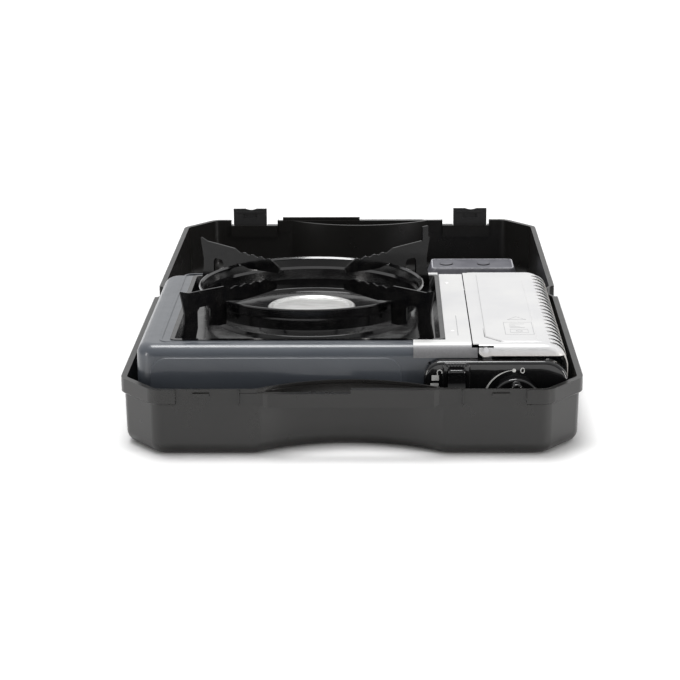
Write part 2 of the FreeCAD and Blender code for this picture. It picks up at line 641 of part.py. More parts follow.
# ---------------------------------------------------------------- stove casing
def casing_block(shrink, right, low):
    """Solid of the stove's outer shape up to X = right; shrink moves every face inwards."""
    left = -STOVE_HALF + shrink
    front, back = STOVE_FRONT + shrink, STOVE_BACK - shrink
    lean = FRONT_LEAN * (STOVE_TOP - shrink - low) / STOVE_HEIGHT
    top = STOVE_TOP - shrink
    foot = front + FRONT_LEAN * (low - STOVE_BOTTOM) / STOVE_HEIGHT
    profile = [(foot, low), (foot + lean, top), (back, top), (back, low)]
    block = prism([(left, y, z) for y, z in profile], (right - left, 0, 0))
    sides = [e for e in block.Edges if e.BoundBox.XMax < left + 0.01 and e.BoundBox.ZLength > 5]
    block = block.makeFillet(PLAN_ROUND - shrink, sides)
    roll = [e for e in block.Edges if e.BoundBox.ZMin > top - 0.01 and e.CenterOfMass.x < right - 0.01]
    return block.makeFillet(TOP_ROLL - shrink, roll)


def pan_hole(slip):
    """The square that the drip pan drops through, with some slip."""
    half = PAN_HALF - PAN_FLANGE + slip
    hole = rounded((BURNER_X - half, BURNER_X + half), (BURNER_Y - half, BURNER_Y + half),
                   [PAN_CORNER] * 4, 30)
    hole.translate(V(0, 0, PAN_FLOOR - 12))
    return hole


def pan_bead():
    """The bead pressed in the painted plate round the pan, up to the deck plate."""
    high = BEAD_HIGH + SHEET / 2
    left, front, back = -PAN_HALF - BEAD_OUT, -PAN_HALF - BEAD_FRONT, PAN_HALF + BEAD_OUT - 1
    right = BURNER_X + PAN_HALF + BEAD_ROUND * 2
    outer = rounded((BURNER_X + left, right), (BURNER_Y + front, BURNER_Y + back),
                    [BEAD_ROUND] * 4, high)
    top = [e for e in outer.Edges if e.BoundBox.ZMin > high - 0.01]
    outer = outer.makeChamfer(BEAD_HIGH * 0.8, top)
    inner = rounded((BURNER_X + left + BEAD_WIDE, right - BEAD_WIDE),
                    (BURNER_Y + front + BEAD_WIDE, BURNER_Y + back - BEAD_WIDE),
                    [BEAD_ROUND - BEAD_WIDE] * 4, high)
    bead = outer.cut(inner)
    bead.translate(V(0, 0, STOVE_TOP - SHEET / 2))
    deck_left = BURNER_X + PAN_HALF - DECK_TAIL
    return bead.common(joined([box((-STOVE_HALF, deck_left - 1), (STOVE_FRONT, 0), (0, 99)),
                               box((-STOVE_HALF, deck_left + DECK_TAIL - 1), (BURNER_Y, 0), (0, 99))]))


def make_top_plate():
    """Pressed and painted steel cover of the burner side, with a raised pad on its front."""
    low = STOVE_BOTTOM + SKIRT_LOW
    plate = casing_block(0, PLATE_RIGHT, low).cut(casing_block(SHEET, PLATE_RIGHT + 1, low - 1))
    plate = plate.cut(pan_hole(PAN_SLIP))
    window = box((PANEL_END + 4, PLATE_RIGHT + 1), (STOVE_FRONT - 9, STOVE_FRONT + 12),
                 (0, PANEL_ROOF - 3))
    plate = plate.cut(window)
    pad_left = -STOVE_HALF + PAD_LEFT
    pad = rounded((pad_left, PAD_RIGHT - STOVE_HALF), (0, PAD_HIGH), [PAD_ROUND] * 4,
                  PAD_PROUD + SHEET / 2)
    edges = [e for e in pad.Edges if e.BoundBox.ZMin > PAD_PROUD + SHEET / 2 - 0.01]
    pad = facing_front(pad.makeChamfer(PAD_PROUD * 0.8, edges), SHEET / 2)
    pad.rotate(V(0, 0, 0), V(1, 0, 0), -math.degrees(math.atan(FRONT_LEAN / STOVE_HEIGHT)))
    pad_z = STOVE_TOP - PAD_TOP - PAD_HIGH
    pad.translate(V(0, STOVE_FRONT + FRONT_LEAN * (pad_z - STOVE_BOTTOM) / STOVE_HEIGHT, pad_z))
    return plate.fuse([pad, pan_bead()])


def make_deck_plate():
    """Bright plate between pan and cover; it wraps over the front edge beside the controls."""
    skin = casing_block(-SHEET, BAY_LEFT + DECK_TOE, 40).cut(casing_block(0, BAY_LEFT + 9, 39))
    pan_right = BURNER_X + PAN_HALF + PAN_SLIP
    pan_front = BURNER_Y - PAN_HALF - PAN_SLIP
    strip = box((pan_right, BAY_LEFT - SEAM), (STOVE_FRONT, STOVE_BACK - 2), (STOVE_TOP - 1, 99))
    left = pan_right - DECK_TAIL
    front = box((left, BAY_LEFT + DECK_TOE), (STOVE_FRONT - 9, pan_front),
                (STOVE_TOP - LIP_DROP, 99))
    beyond = box((BAY_LEFT - SEAM, BAY_LEFT + 9), (COVER_Y[0] + NOTCH_DEEP - SEAM, 0), (0, 99))
    plate = skin.common(joined([strip, front])).cut(beyond)
    dimple_x = pan_right + DIMPLE_IN
    for y in (STOVE_FRONT + DIMPLE_ENDS[0], STOVE_BACK - DIMPLE_ENDS[1]):
        plate = plate.cut(Part.makeCone(2.6, 1.6, 0.5, V(dimple_x, y, DECK_TOP), V(0, 0, -1)))
    return plate


def panel_screw_places():
    """Points on the inside of the casing's front wall where the panel is screwed on."""
    z = STOVE_BOTTOM + 20
    y = STOVE_FRONT + 2 * SHEET + CASING_LAP + FRONT_LEAN * (z - STOVE_BOTTOM) / STOVE_HEIGHT
    return [(PANEL_END + 9, y, z), (STOVE_HALF - 18, y, z)]


def make_lower_casing():
    """Folded steel tray that carries the gas line and forms the cartridge bay."""
    side = STOVE_HALF - SHEET - CASING_LAP
    shrink = SHEET + CASING_LAP
    outer = casing_block(shrink, side, STOVE_BOTTOM)
    inner = casing_block(shrink + SHEET, side - SHEET, STOVE_FLOOR)
    tray_shape = outer.cut(inner)
    above = box((-STOVE_HALF, STOVE_HALF), (-CASE_REACH, 0), (CASING_TOP, DECK_TOP))
    tray_shape = tray_shape.cut(above)
    stem = rod((KNOB_X, STOVE_FRONT - 9, KNOB_Z), (0, 1, 0), STEM_RADIUS + 4, 30)
    slot = lever_slot(STOVE_FRONT - 9, 20, 1.5)
    wide, high = VENT_SIZE[0] / 2, VENT_SIZE[1] / 2
    vents = [rounded((x - wide, x + wide), (BURNER_Y + y - high, BURNER_Y + y + high),
                     [high * 0.95] * 4, 6)
             for x in (BURNER_X - VENT_PITCH, BURNER_X, BURNER_X + VENT_PITCH) for y in VENT_ROWS]
    for vent in vents:
        vent.translate(V(0, 0, STOVE_BOTTOM - 2))
    holes = [rod((x, y - 9, z), (0, 1, 0), SCREW_SHANK + 0.3, 18) for x, y, z in panel_screw_places()]
    return tray_shape.cut([stem, slot] + vents + holes)


def make_partition():
    """Sheet-metal heat wall between burner and cartridge, with a foot flange."""
    y = (REGULATOR_END - 3, STOVE_BACK - 6)
    wall = box((PARTITION_X, PARTITION_X + SHEET), y, (STOVE_FLOOR, STOVE_TOP - 2))
    foot = box((PARTITION_X - PARTITION_FOOT, PARTITION_X), y, (STOVE_FLOOR, STOVE_FLOOR + SHEET))
    holes = [rod((PARTITION_X - 1, y[0] + 30 + PARTITION_PITCH * i, STOVE_TOP - 20), (1, 0, 0),
                 PARTITION_HOLE, SHEET + 2) for i in range(PARTITION_HOLES)]
    notch = box((PARTITION_X - PARTITION_FOOT - 1, PARTITION_X + SHEET + 1),
                (LEAD_Y - LEAD_NOTCH, LEAD_Y + LEAD_NOTCH), (0, STOVE_FLOOR + LEAD_NOTCH))
    return wall.fuse(foot).cut(holes + [notch])


def make_cover():
    """Bright hinged cover of the cartridge bay, rolled down its right side, with louvres."""
    def block(shrink, low):
        x = (COVER_LEFT - shrink, STOVE_HALF - shrink)
        y = (COVER_Y[0] + shrink, COVER_Y[1] - shrink)
        top = DECK_TOP - shrink
        solid = box(x, y, (low, top))
        long_edge = [e for e in solid.Edges if e.BoundBox.XMin > x[1] - 0.01
                     and e.BoundBox.ZMin > top - 0.01]
        solid = solid.makeFillet(COVER_ROLL - shrink, long_edge)
        ends = [e for e in solid.Edges
                if (e.BoundBox.YMax < y[0] + 0.01 or e.BoundBox.YMin > y[1] - 0.01)
                and e.BoundBox.ZMin > low + 0.01]
        ends = [e for e in ends if e.BoundBox.XMax > x[0] + 0.01]
        return solid.makeFillet(COVER_EDGE - shrink, ends)

    low = DECK_TOP - COVER_SKIRT
    shell = block(0, low).cut(block(SHEET, low - 1))
    lug_x = PIVOT_X + HINGE_LUG
    lip_low = DECK_TOP - COVER_LIP
    for y in (COVER_Y[0] - 1, COVER_Y[1] - COVER_EDGE):
        under = box((0, STOVE_HALF + 1), (y, y + COVER_EDGE + 1), (0, lip_low))
        shell = shell.cut(under)
    shell = shell.cut(box((0, lug_x), (-400, 0), (0, DECK_TOP - SHEET - 0.01)))
    for y in (COVER_Y[0], COVER_Y[1] - SHEET):
        lug = rod((PIVOT_X, y, PIVOT_Z), (0, 1, 0), HINGE_LUG, SHEET)
        web = box((PIVOT_X, lug_x + 1), (y, y + SHEET), (PIVOT_Z - HINGE_LUG + 1, DECK_TOP - 3))
        shell = shell.fuse([lug.cut(box((0, 300), (-400, 0), (DECK_TOP - 2, 99))), web])
    deep = NOTCH_DEEP
    for y in ((COVER_Y[0] - 1, COVER_Y[0] + deep), (COVER_Y[1] - deep, COVER_Y[1] + 1)):
        shell = shell.cut(box((0, COVER_LEFT + NOTCH_WIDE), y, (0, 99)))
    bore = rod((PIVOT_X, -400, PIVOT_Z), (0, 1, 0), COVER_PIN + PIN_SLIP, 400)
    shell = shell.cut(bore)
    first = (COVER_Y[0] + COVER_Y[1] - LOUVRE_PITCH * (LOUVRES - 1)) / 2
    cuts = []
    for i in range(LOUVRES):
        slot = box((-LOUVRE_LONG / 2, LOUVRE_LONG / 2), (-LOUVRE_WIDTH / 2, LOUVRE_WIDTH / 2),
                   (-14, 14))
        slot.rotate(V(0, 0, 0), V(0, 0, 1), LOUVRE_SLANT)
        slot.translate(V(STOVE_HALF - COVER_ROLL / 2 + 2, first + LOUVRE_PITCH * i, DECK_TOP - 10))
        cuts.append(slot)
    shell = shell.cut(cuts)
    y0, y1 = COVER_Y[0] + 13, COVER_Y[1] - 15
    pad = [(COVER_LEFT + 11, y0 + 15), (COVER_LEFT + 24, y0), (COVER_LEFT + 54, y0),
           (COVER_LEFT + 54, y1 - 26), (COVER_LEFT + 40, y1), (COVER_LEFT + 12, y1)]
    raised = prism([(x, y, DECK_TOP - 0.1) for x, y in pad], (0, 0, COVER_PAD + 0.1))
    edges = [e for e in raised.Edges if e.BoundBox.ZMin > DECK_TOP + COVER_PAD - 0.01]
    return shell.fuse(raised.makeChamfer(COVER_PAD * 0.8, edges))


def make_cover_hinges():
    """Two brackets inside the casing and the pins that the cover's lugs turn on."""
    parts = []
    skin = CASING_LAP + 2 * SHEET
    low = CASING_TOP - 18
    lean = FRONT_LEAN * (low + 1.2 - STOVE_BOTTOM) / STOVE_HEIGHT
    walls = (STOVE_FRONT + skin + lean, STOVE_BACK - skin)
    for wall, gap, lug_y, way in ((walls[0], 1.6, COVER_Y[0], 1), (walls[1], 0.5, COVER_Y[1], -1)):
        y = wall + way * gap
        x = (PIVOT_X - HINGE_EYE, PIVOT_X + 5)
        plate = box(x, sorted((y, y + way * 1.2)), (low, PIVOT_Z))
        eye = rod((PIVOT_X, y, PIVOT_Z), (0, way, 0), HINGE_EYE, 1.2)
        foot = box(x, sorted((wall + way * 0.2, y)), (low, low + 1.2))
        start = lug_y - way * 0.9
        pin = rod((PIVOT_X, start, PIVOT_Z), (0, way, 0), COVER_PIN, abs(y + way * 1.2 - start))
        head = rod((PIVOT_X, start, PIVOT_Z), (0, -way, 0), COVER_PIN + 0.9, 0.8)
        parts.append(joined([plate, eye, foot, pin, head]))
    return Part.makeCompound(parts)


def make_stove_feet():
    feet = []
    for x in (-STOVE_HALF + FOOT_INSET, STOVE_HALF - FOOT_INSET):
        for y in (STOVE_FRONT + FOOT_INSET, STOVE_BACK - FOOT_INSET):
            foot = rod((x, y, STOVE_BOTTOM), (0, 0, -1), FOOT_RADIUS, FOOT_HEIGHT)
            rims = [e for e in foot.Edges if e.BoundBox.ZMax < STOVE_BOTTOM - FOOT_HEIGHT + 0.01]
            feet.append(foot.makeFillet(FOOT_EDGE, rims))
    return Part.makeCompound(feet)


# ---------------------------------------------------------------- pan and trivet
def make_drip_pan():
    """Enamelled square pan: flange, sloped walls, round bead and dish, and a collared throat."""
    def square(half, corner, z):
        corners = [(BURNER_X - half, BURNER_Y - half), (BURNER_X + half, BURNER_Y - half),
                   (BURNER_X + half, BURNER_Y + half), (BURNER_X - half, BURNER_Y + half)]
        return rounded_wire(corners, [corner] * 4, z)

    flange = Part.Face(square(PAN_HALF, PAN_CORNER + PAN_FLANGE, STOVE_TOP))
    flange = flange.extrude(V(0, 0, PAN_SHEET))
    half = PAN_HALF - PAN_FLANGE
    floor = PAN_FLOOR - PAN_SHEET
    tub = Part.makeLoft([square(half - PAN_SLOPE, PAN_CORNER, floor),
                         square(half, PAN_CORNER, STOVE_TOP)], True, True)
    hollow = Part.makeLoft([square(half - PAN_SLOPE - PAN_SHEET, PAN_CORNER, PAN_FLOOR),
                            square(half - PAN_SHEET, PAN_CORNER, PAN_TOP + 0.01)], True, True)
    r, t, z = DISH_RADIUS, PAN_SHEET, PAN_FLOOR
    b = DISH_BEAD
    low = z - DISH_DEPTH
    collar = THROAT_RADIUS
    pressing = spun([(r + 4.8, z), (r + 3.4, z + b), (r + 1.4, z + b), (r, z), (r - 3, z - 0.6),
                     (collar + 8, low + 0.6), (collar + 3, low), (collar, low + THROAT_COLLAR),
                     (collar - t, low + THROAT_COLLAR), (collar + 2.2, low - t),
                     (collar + 8, low + 0.6 - t), (r - 3, z - 0.6 - t), (r, z - t),
                     (r + 1.8, z - t), (r + 2.2, z + b - t), (r + 2.8, z + b - t),
                     (r + 3.4, z - t), (r + 4.8, z - t)], BURNER_X, BURNER_Y)
    through = rod((BURNER_X, BURNER_Y, 0), (0, 0, 1), r + 4.7, 200)
    return joined([flange, tub]).cut(hollow).cut(through).fuse(pressing).removeSplitter()


def make_trivet_ring():
    """Flared sheet ring with a bead, a rolled top edge and small draught holes."""
    top = PAN_FLOOR + RING_TOP_HIGH
    r, low, t = RING_RADIUS, top - RING_HEIGHT, RING_WALL
    mid = low + RING_HEIGHT * 0.55
    foot = r - RING_TAPER
    return spun([(foot, low), (foot + 1.2, mid - 2), (foot + 3.0, mid), (r - 1.4, top - 2.0),
                 (r, top - 1.2), (r - 0.4, top - 0.2), (r - 1.4, top), (r - RING_BEAD, top - 1.4),
                 (r - 1.4 - t, top - 2.2), (foot + 3.0 - t, mid + 0.4), (foot + 1.2 - t, mid - 1.6),
                 (foot - t, low)], BURNER_X, BURNER_Y)


def make_trivet_arm(angle, tab):
    """One radial plate: scalloped pot rest on top, a foot outside the ring and a leg at the ring."""
    floor = PAN_FLOOR + REST_SLIP
    top = PAN_FLOOR + ARM_TOP
    ring_top = PAN_FLOOR + RING_TOP_HIGH
    tip = ARM_FOOT
    waves = []
    start, stop = ARM_INNER + 9, RING_RADIUS - 5
    steps = ARM_WAVES * 6
    for i in range(steps + 1):
        r = start + (stop - start) * i / steps
        waves.append((r, top - 5.2 - 1.9 * (0.5 + 0.5 * math.cos(2 * math.pi * ARM_WAVES * i / steps))
                      * (1 - 0.2 * i / steps)))
    outline = [(ARM_INNER, top - 12.2), (ARM_INNER + 2, top - 10.6)] + waves
    outline += [(RING_RADIUS + 3, top - 3.4), (RING_RADIUS + 17, top - 3.0), (tip - 9, top - 2.5)]
    if tab:
        inner, outer = tip - TAB_PLACE[0], tip - TAB_PLACE[1]
        outline += [(inner, top - 2.4), (inner + 0.6, top + TAB_RISE), (outer, top + TAB_RISE),
                    (outer, top - 1.0)]
    outline += [(tip - 0.6, top), (tip, top - 1.2), (tip - 2.2, top - 11), (tip - 4, top - 20),
                (tip - 3.4, top - 29), (tip - 1, top - 38), (tip, floor), (tip - 16, floor),
                (tip - 16, floor + 5), (tip - 18, floor + 12), (tip - 18, ring_top - 2.5),
                (tip - 20.5, ring_top + 0.4), (tip - 29.5, ring_top + 0.4),
                (tip - 32, ring_top - 2.5), (tip - 32, floor + 12), (RING_RADIUS + 9, floor + 9.6),
                (RING_RADIUS + 1.0, floor + 9.6)]
    outline += [(RING_RADIUS + 0.35, ring_top - 1.0), (RING_RADIUS + 0.35, ring_top + 0.5),
                (RING_RADIUS - 2, ring_top + 0.5), (RING_RADIUS - 16, ring_top - 1.8),
                (RING_RADIUS - 31.4, ring_top - 1.2), (ARM_INNER + 1, ring_top + 0.7)]
    plate = prism([(r, -ARM_SHEET / 2, z) for r, z in outline], (0, ARM_SHEET, 0))
    plate.rotate(V(0, 0, 0), V(0, 0, 1), angle)
    plate.translate(V(BURNER_X, BURNER_Y, 0))
    return plate


# ---------------------------------------------------------------- burner and gas line
def make_burner_cap():
    """Pressed steel cap with a low dome and a dished rim."""
    z, r = CAP_TOP - CAP_THICK, CAP_RADIUS
    return spun([(0.0, z), (r - 1, z), (r, z + 1.0), (r, z + CAP_THICK - 0.9),
                 (r - 0.9, z + CAP_THICK), (r - 3.2, z + CAP_THICK), (r - 4.8, z + CAP_THICK - 1.2),
                 (r - 7.5, z + CAP_THICK - 1.4), (r - 18, z + CAP_THICK - 0.6),
                 (0.0, z + CAP_THICK - 0.1)], BURNER_X, BURNER_Y)


def make_port_ring():
    """Ring of flame ports: a short wall with a slot for each flame."""
    ring = pipe((BURNER_X, BURNER_Y, PORT_LOW), (0, 0, 1), PORT_RADIUS, PORT_RADIUS - PORT_WALL,
                PORT_RING_HIGH)
    slots = []
    for i in range(PORT_COUNT):
        slot = box((PORT_RADIUS - PORT_WALL - 1, PORT_RADIUS + 1), (-PORT_WIDE / 2, PORT_WIDE / 2),
                   (PORT_LOW + 2.2, CAP_TOP - CAP_THICK - 1.2))
        slot.rotate(V(0, 0, 0), V(0, 0, 1), 360 * i / PORT_COUNT)
        slot.translate(V(BURNER_X, BURNER_Y, 0))
        slots.append(slot)
    return ring.cut(slots)


def make_burner_bowl():
    """Cast bowl under the ports with a neck that takes the mixing tube."""
    w = BOWL_WALL
    r, n = PORT_RADIUS, NECK_RADIUS
    bowl = spun([(0, NECK_LOW), (n, NECK_LOW), (n, BOWL_LOW), (r - 5, PORT_LOW - 8),
                 (r, PORT_LOW - 3), (r, PORT_LOW), (r - w, PORT_LOW), (r - w, PORT_LOW - 3 + w / 2),
                 (r - 5 - w, PORT_LOW - 8 + w), (n - w, BOWL_LOW + w), (n - w, NECK_LOW + w),
                 (0, NECK_LOW + w)], BURNER_X, BURNER_Y)
    return bowl.cut(rod((BURNER_X, BURNER_Y, TUBE_Z), (1, 0, 0), TUBE_RADIUS + 0.05, 60))


def make_mixing_tube():
    """Tube from the jet to the bowl's neck, flared at its mouth, with four air holes."""
    start = BURNER_X + NECK_RADIUS - BOWL_WALL
    mouth = TUBE_MOUTH
    tube = pipe((start, BURNER_Y, TUBE_Z), (1, 0, 0), TUBE_RADIUS, TUBE_RADIUS - TUBE_WALL,
                mouth - start)
    flare = Part.makeCone(TUBE_RADIUS, TUBE_RADIUS + 3, 7, V(mouth - 0.01, BURNER_Y, TUBE_Z), V(1, 0, 0))
    hollow = Part.makeCone(TUBE_RADIUS - TUBE_WALL, TUBE_RADIUS + 3 - TUBE_WALL, 7.1,
                           V(mouth - 0.02, BURNER_Y, TUBE_Z), V(1, 0, 0))
    holes = [rod((mouth - 9, BURNER_Y, TUBE_Z), (0, y, z), 2.2, 20)
             for y, z in ((1, 0), (-1, 0), (0, 1), (0, -1))]
    return joined([tube, flare]).cut(hollow).cut(holes)


def make_bracket():
    """Bridge of folded steel that carries the burner on the casing floor."""
    top = NECK_LOW
    half = BRACKET_SIZE[0] / 2
    y = (BURNER_Y - BRACKET_SIZE[1] / 2, BURNER_Y + BRACKET_SIZE[1] / 2)
    parts = [box((BURNER_X - half, BURNER_X + half), y, (top - BRACKET_SHEET, top))]
    for side in (-1, 1):
        edge = BURNER_X + side * half
        leg = box(sorted((edge, edge - side * BRACKET_SHEET)), y, (STOVE_FLOOR, top))
        toe = box(sorted((edge, edge + side * BRACKET_TOE)), y,
                  (STOVE_FLOOR, STOVE_FLOOR + BRACKET_SHEET))
        hole = rod((edge + side * SCREW_OUT, BURNER_Y, 0), (0, 0, 1), SCREW_SHANK + SCREW_SLIP, 99)
        parts += [leg, toe.cut(hole)]
    return joined(parts)


def make_gas_jet():
    """Brass jet with a hexagon that screws on to the pipe's end."""
    x = TUBE_MOUTH + JET_GAP
    radius, length = JET_HEX
    hexagon = [(math.cos(math.radians(60 * i)) * radius, math.sin(math.radians(60 * i)) * radius)
               for i in range(6)]
    body = prism([(x, BURNER_Y + a, TUBE_Z + b) for a, b in hexagon], (length, 0, 0))
    tip = Part.makeCone(*JET_TIP, V(x, BURNER_Y, TUBE_Z), V(-1, 0, 0))
    bore = rod((x - JET_TIP[2] - 1, BURNER_Y, TUBE_Z), (1, 0, 0), JET_BORE, 20)
    return joined([body, tip]).cut(bore)


def make_gas_pipe():
    """Copper pipe from the regulator, round in front of the heat wall, back to the jet."""
    y = REGULATOR_END - PIPE_RADIUS * 1.5
    x = TUBE_MOUTH + JET_GAP + JET_HEX[1]
    aside = x + PIPE_ASIDE
    return swept_rod([(KNOB_X - REGULATOR_RADIUS, y, CARTRIDGE_Z), (aside, y, CARTRIDGE_Z),
                      (aside, BURNER_Y, TUBE_Z), (x, BURNER_Y, TUBE_Z)], PIPE_RADIUS, PIPE_BEND)


def make_regulator():
    """Zinc regulator block in line with the cartridge, with a diaphragm dome and a stem bore."""
    y = REGULATOR_Y
    drum = rod((KNOB_X, y, CARTRIDGE_Z), (0, 1, 0), REGULATOR_RADIUS, REGULATOR_LONG)
    rims = [e for e in drum.Edges if e.BoundBox.YLength < 0.01]
    drum = drum.makeFillet(REGULATOR_EDGE, rims)
    flange = box((KNOB_X - FLANGE_HALF, KNOB_X + FLANGE_HALF), (y + FLANGE_Y[0], y + FLANGE_Y[1]),
                 (STOVE_FLOOR + 0.2, CARTRIDGE_Z + 4))
    bore = rod((KNOB_X, y - 1, KNOB_Z), (0, 1, 0), STEM_RADIUS + STEM_SLIP, STEM_IN + 1.5)
    return joined([drum, flange]).cut(bore)


def make_nozzle():
    """Rubber-faced brass nozzle that the cartridge collar is pushed on to."""
    y = REGULATOR_END
    body = rod((KNOB_X, y, CARTRIDGE_Z), (0, 1, 0), NOZZLE_RADIUS, NOZZLE_LONG)
    bore = rod((KNOB_X, y + NOZZLE_FLOOR, CARTRIDGE_Z), (0, 1, 0), NOZZLE_BORE, NOZZLE_LONG)
    probe = rod((KNOB_X, y + NOZZLE_FLOOR - 0.1, CARTRIDGE_Z), (0, 1, 0), PROBE_RADIUS,
                NOZZLE_LONG - NOZZLE_FLOOR - 1)
    return joined([body.cut(bore), probe])


def make_nozzle_seal():
    return pipe((KNOB_X, REGULATOR_END + NOZZLE_FLOOR, CARTRIDGE_Z), (0, 1, 0), *SEAL_SIZE)


def make_valve_stem():
    """Steel stem that the knob turns; it runs in the regulator's bore."""
    start = PANEL_FACE - KNOB_SLIP - KNOB_DEEP + 5
    return rod((KNOB_X, start, KNOB_Z), (0, 1, 0), STEM_RADIUS, REGULATOR_Y + STEM_IN - start)


def make_igniter():
    """Piezo igniter beside the regulator, worked by a cam on the stem."""
    x, z = KNOB_X - IGNITER_ASIDE, IGNITER_Z
    y = REGULATOR_Y + 1
    body = rod((x, y, z), (0, 1, 0), *IGNITER_BODY)
    nose = rod((x, y + IGNITER_BODY[1], z), (0, 1, 0), *IGNITER_NOSE)
    foot = box((x - 5, x + 5), (y + 5, y + 13), (STOVE_FLOOR + 0.1, z))
    return joined([body, nose, foot])


def make_insulator():
    """Ceramic sleeve of the spark electrode, standing in the pan's throat."""
    x, y = spark_place()
    low = NECK_LOW + SPARK_LOW + 3
    sleeve = rod((x, y, low), (0, 0, 1), SLEEVE[0], SLEEVE[2])
    collar = rod((x, y, low + 6), (0, 0, 1), SLEEVE[1], 3)
    return joined([sleeve, collar]).cut(rod((x, y, 0), (0, 0, 1), SLEEVE_BORE, 99))


def spark_place():
    reach = (CAP_RADIUS + THROAT_RADIUS - PAN_SHEET) / 2
    angle = math.radians(SPARK_ANGLE)
    return BURNER_X + reach * math.cos(angle), BURNER_Y + reach * math.sin(angle)


def make_electrode():
    x, y = spark_place()
    low = NECK_LOW + SPARK_LOW
    return rod((x, y, low), (0, 0, 1), SPARK_RADIUS, CAP_TOP - CAP_THICK - 3 - low)


def make_ignition_lead():
    """Insulated lead from the igniter, under the heat wall's rail, up to the electrode."""
    x, y = spark_place()
    nose = REGULATOR_Y + 1 + IGNITER_BODY[1] + IGNITER_NOSE[1]
    start = KNOB_X - IGNITER_ASIDE, nose, IGNITER_Z
    low = STOVE_FLOOR + LEAD_RADIUS * 1.4
    return swept_rod([start, (start[0], LEAD_Y - 8, start[2]), (start[0] - 2, LEAD_Y, low),
                      (PARTITION_X - 16, LEAD_Y, low), (x, y, low), (x, y, NECK_LOW + SPARK_LOW)],
                     LEAD_RADIUS, LEAD_BEND)


# ---------------------------------------------------------------- controls
def lever_slot(y, deep, slack):
    """Slot for the lever's neck over its whole travel."""
    half = LEVER_NECK / 2 + slack
    return box((LEVER_X - half, LEVER_X + half), (y, y + deep),
               (LEVER_Z - LEVER_TRAVEL - SLOT_HALF - slack, LEVER_Z + SLOT_HALF + slack))


def make_control_panel():
    """Moulded panel with a hood round the lever and a shallow dial seat round the knob."""
    z = (STOVE_BOTTOM + PANEL_LIFT, PANEL_ROOF)
    x = (PANEL_END, STOVE_HALF)
    radii = [PANEL_ROUND_LEFT, PANEL_ROUND_RIGHT, PANEL_ROUND_RIGHT, PANEL_ROUND_LEFT]
    deep = PANEL_PROUD + FRONT_LEAN + 2

    def slab(shrink, cut_back):
        plate = rounded((x[0] + shrink, x[1] - shrink), (z[0] + shrink, z[1] - shrink),
                        [r - shrink for r in radii], deep - cut_back)
        return facing_front(plate, PANEL_FACE + deep)

    solid = slab(0, 0)
    face = [e for e in solid.Edges if e.BoundBox.YMax < PANEL_FACE + 0.01]
    solid = solid.makeFillet(PANEL_BEVEL, face)
    panel = solid.cut(slab(PANEL_WALL, PANEL_WALL))
    hood = rounded((LEVER_X - HOOD_WIDE / 2, LEVER_X + HOOD_WIDE / 2),
                   (LEVER_Z - LEVER_TRAVEL - LEVER_HIGH / 2 - 4, LEVER_Z + LEVER_HIGH / 2 + 4.5),
                   [4.0] * 4, HOOD_PROUD + 1)
    edges = [e for e in hood.Edges if e.BoundBox.ZMin > HOOD_PROUD + 0.99]
    hood = facing_front(hood.makeFillet(1.5, edges), PANEL_FACE + 1)
    half = LEVER_WIDE / 2 + LEVER_SLIP
    channel = box((LEVER_X - half, LEVER_X + half), (PANEL_FACE - 9, PANEL_FACE),
                  (LEVER_Z - LEVER_TRAVEL - LEVER_HIGH / 2 - 1, LEVER_Z + LEVER_HIGH / 2 + 1))
    ribs = [rod((LEVER_X + i * 2.6, PANEL_FACE - HOOD_PROUD, LEVER_Z + LEVER_HIGH / 2 + 1.4),
                (0, 0, 1), 0.7, 2.6) for i in (-3, -2, -1, 0, 1, 2, 3)]
    panel = panel.fuse(hood).cut(ribs).cut(channel)
    stem = rod((KNOB_X, PANEL_FACE - 1, KNOB_Z), (0, 1, 0), STEM_RADIUS + 0.6, 30)
    seat = pipe((KNOB_X, PANEL_FACE - 1, KNOB_Z), (0, 1, 0), KNOB_RADIUS + 1.6, KNOB_RADIUS + 0.8, 1.5)
    panel = panel.cut([lever_slot(PANEL_FACE - 1, 40, LEVER_SLIP), stem, seat])
    return panel.cut(casing_block(-0.2, STOVE_HALF + 30, 0))


def make_lock_lever():
    """Thumb tab with a waist and grip lines, and a neck that carries the cam pin."""
    face = PANEL_FACE - 0.3
    tab = rounded((LEVER_X - LEVER_WIDE / 2, LEVER_X + LEVER_WIDE / 2),
                  (LEVER_Z - LEVER_HIGH / 2, LEVER_Z + LEVER_HIGH / 2), [3.0] * 4, LEVER_PROUD - 0.3)
    edges = [e for e in tab.Edges if e.BoundBox.ZMin > LEVER_PROUD - 0.31]
    tab = facing_front(tab.makeFillet(1.6, edges), face)
    hollow = rod((LEVER_X - 10, PANEL_FACE - LEVER_PROUD - 10.5, LEVER_Z), (1, 0, 0), 13.0, 20)
    tab = tab.cut(hollow)
    half = LEVER_NECK / 2
    neck = box((LEVER_X - half, LEVER_X + half), (face, CAM_Y),
               (LEVER_Z - SLOT_HALF, LEVER_Z + SLOT_HALF))
    arm = box((LEVER_X - half, RAIL_X - RAIL_SLIP - 0.2), (CAM_Y - 4, CAM_Y + 2),
              (LEVER_Z - SLOT_HALF, LEVER_Z + SLOT_HALF))
    pin = rod((RAIL_X - RAIL_SLIP - 0.3, CAM_Y, LEVER_Z), (1, 0, 0), CAM_PIN,
              RAIL_SHEET + 2 * RAIL_SLIP + 0.8)
    return joined([tab, neck, arm, pin])


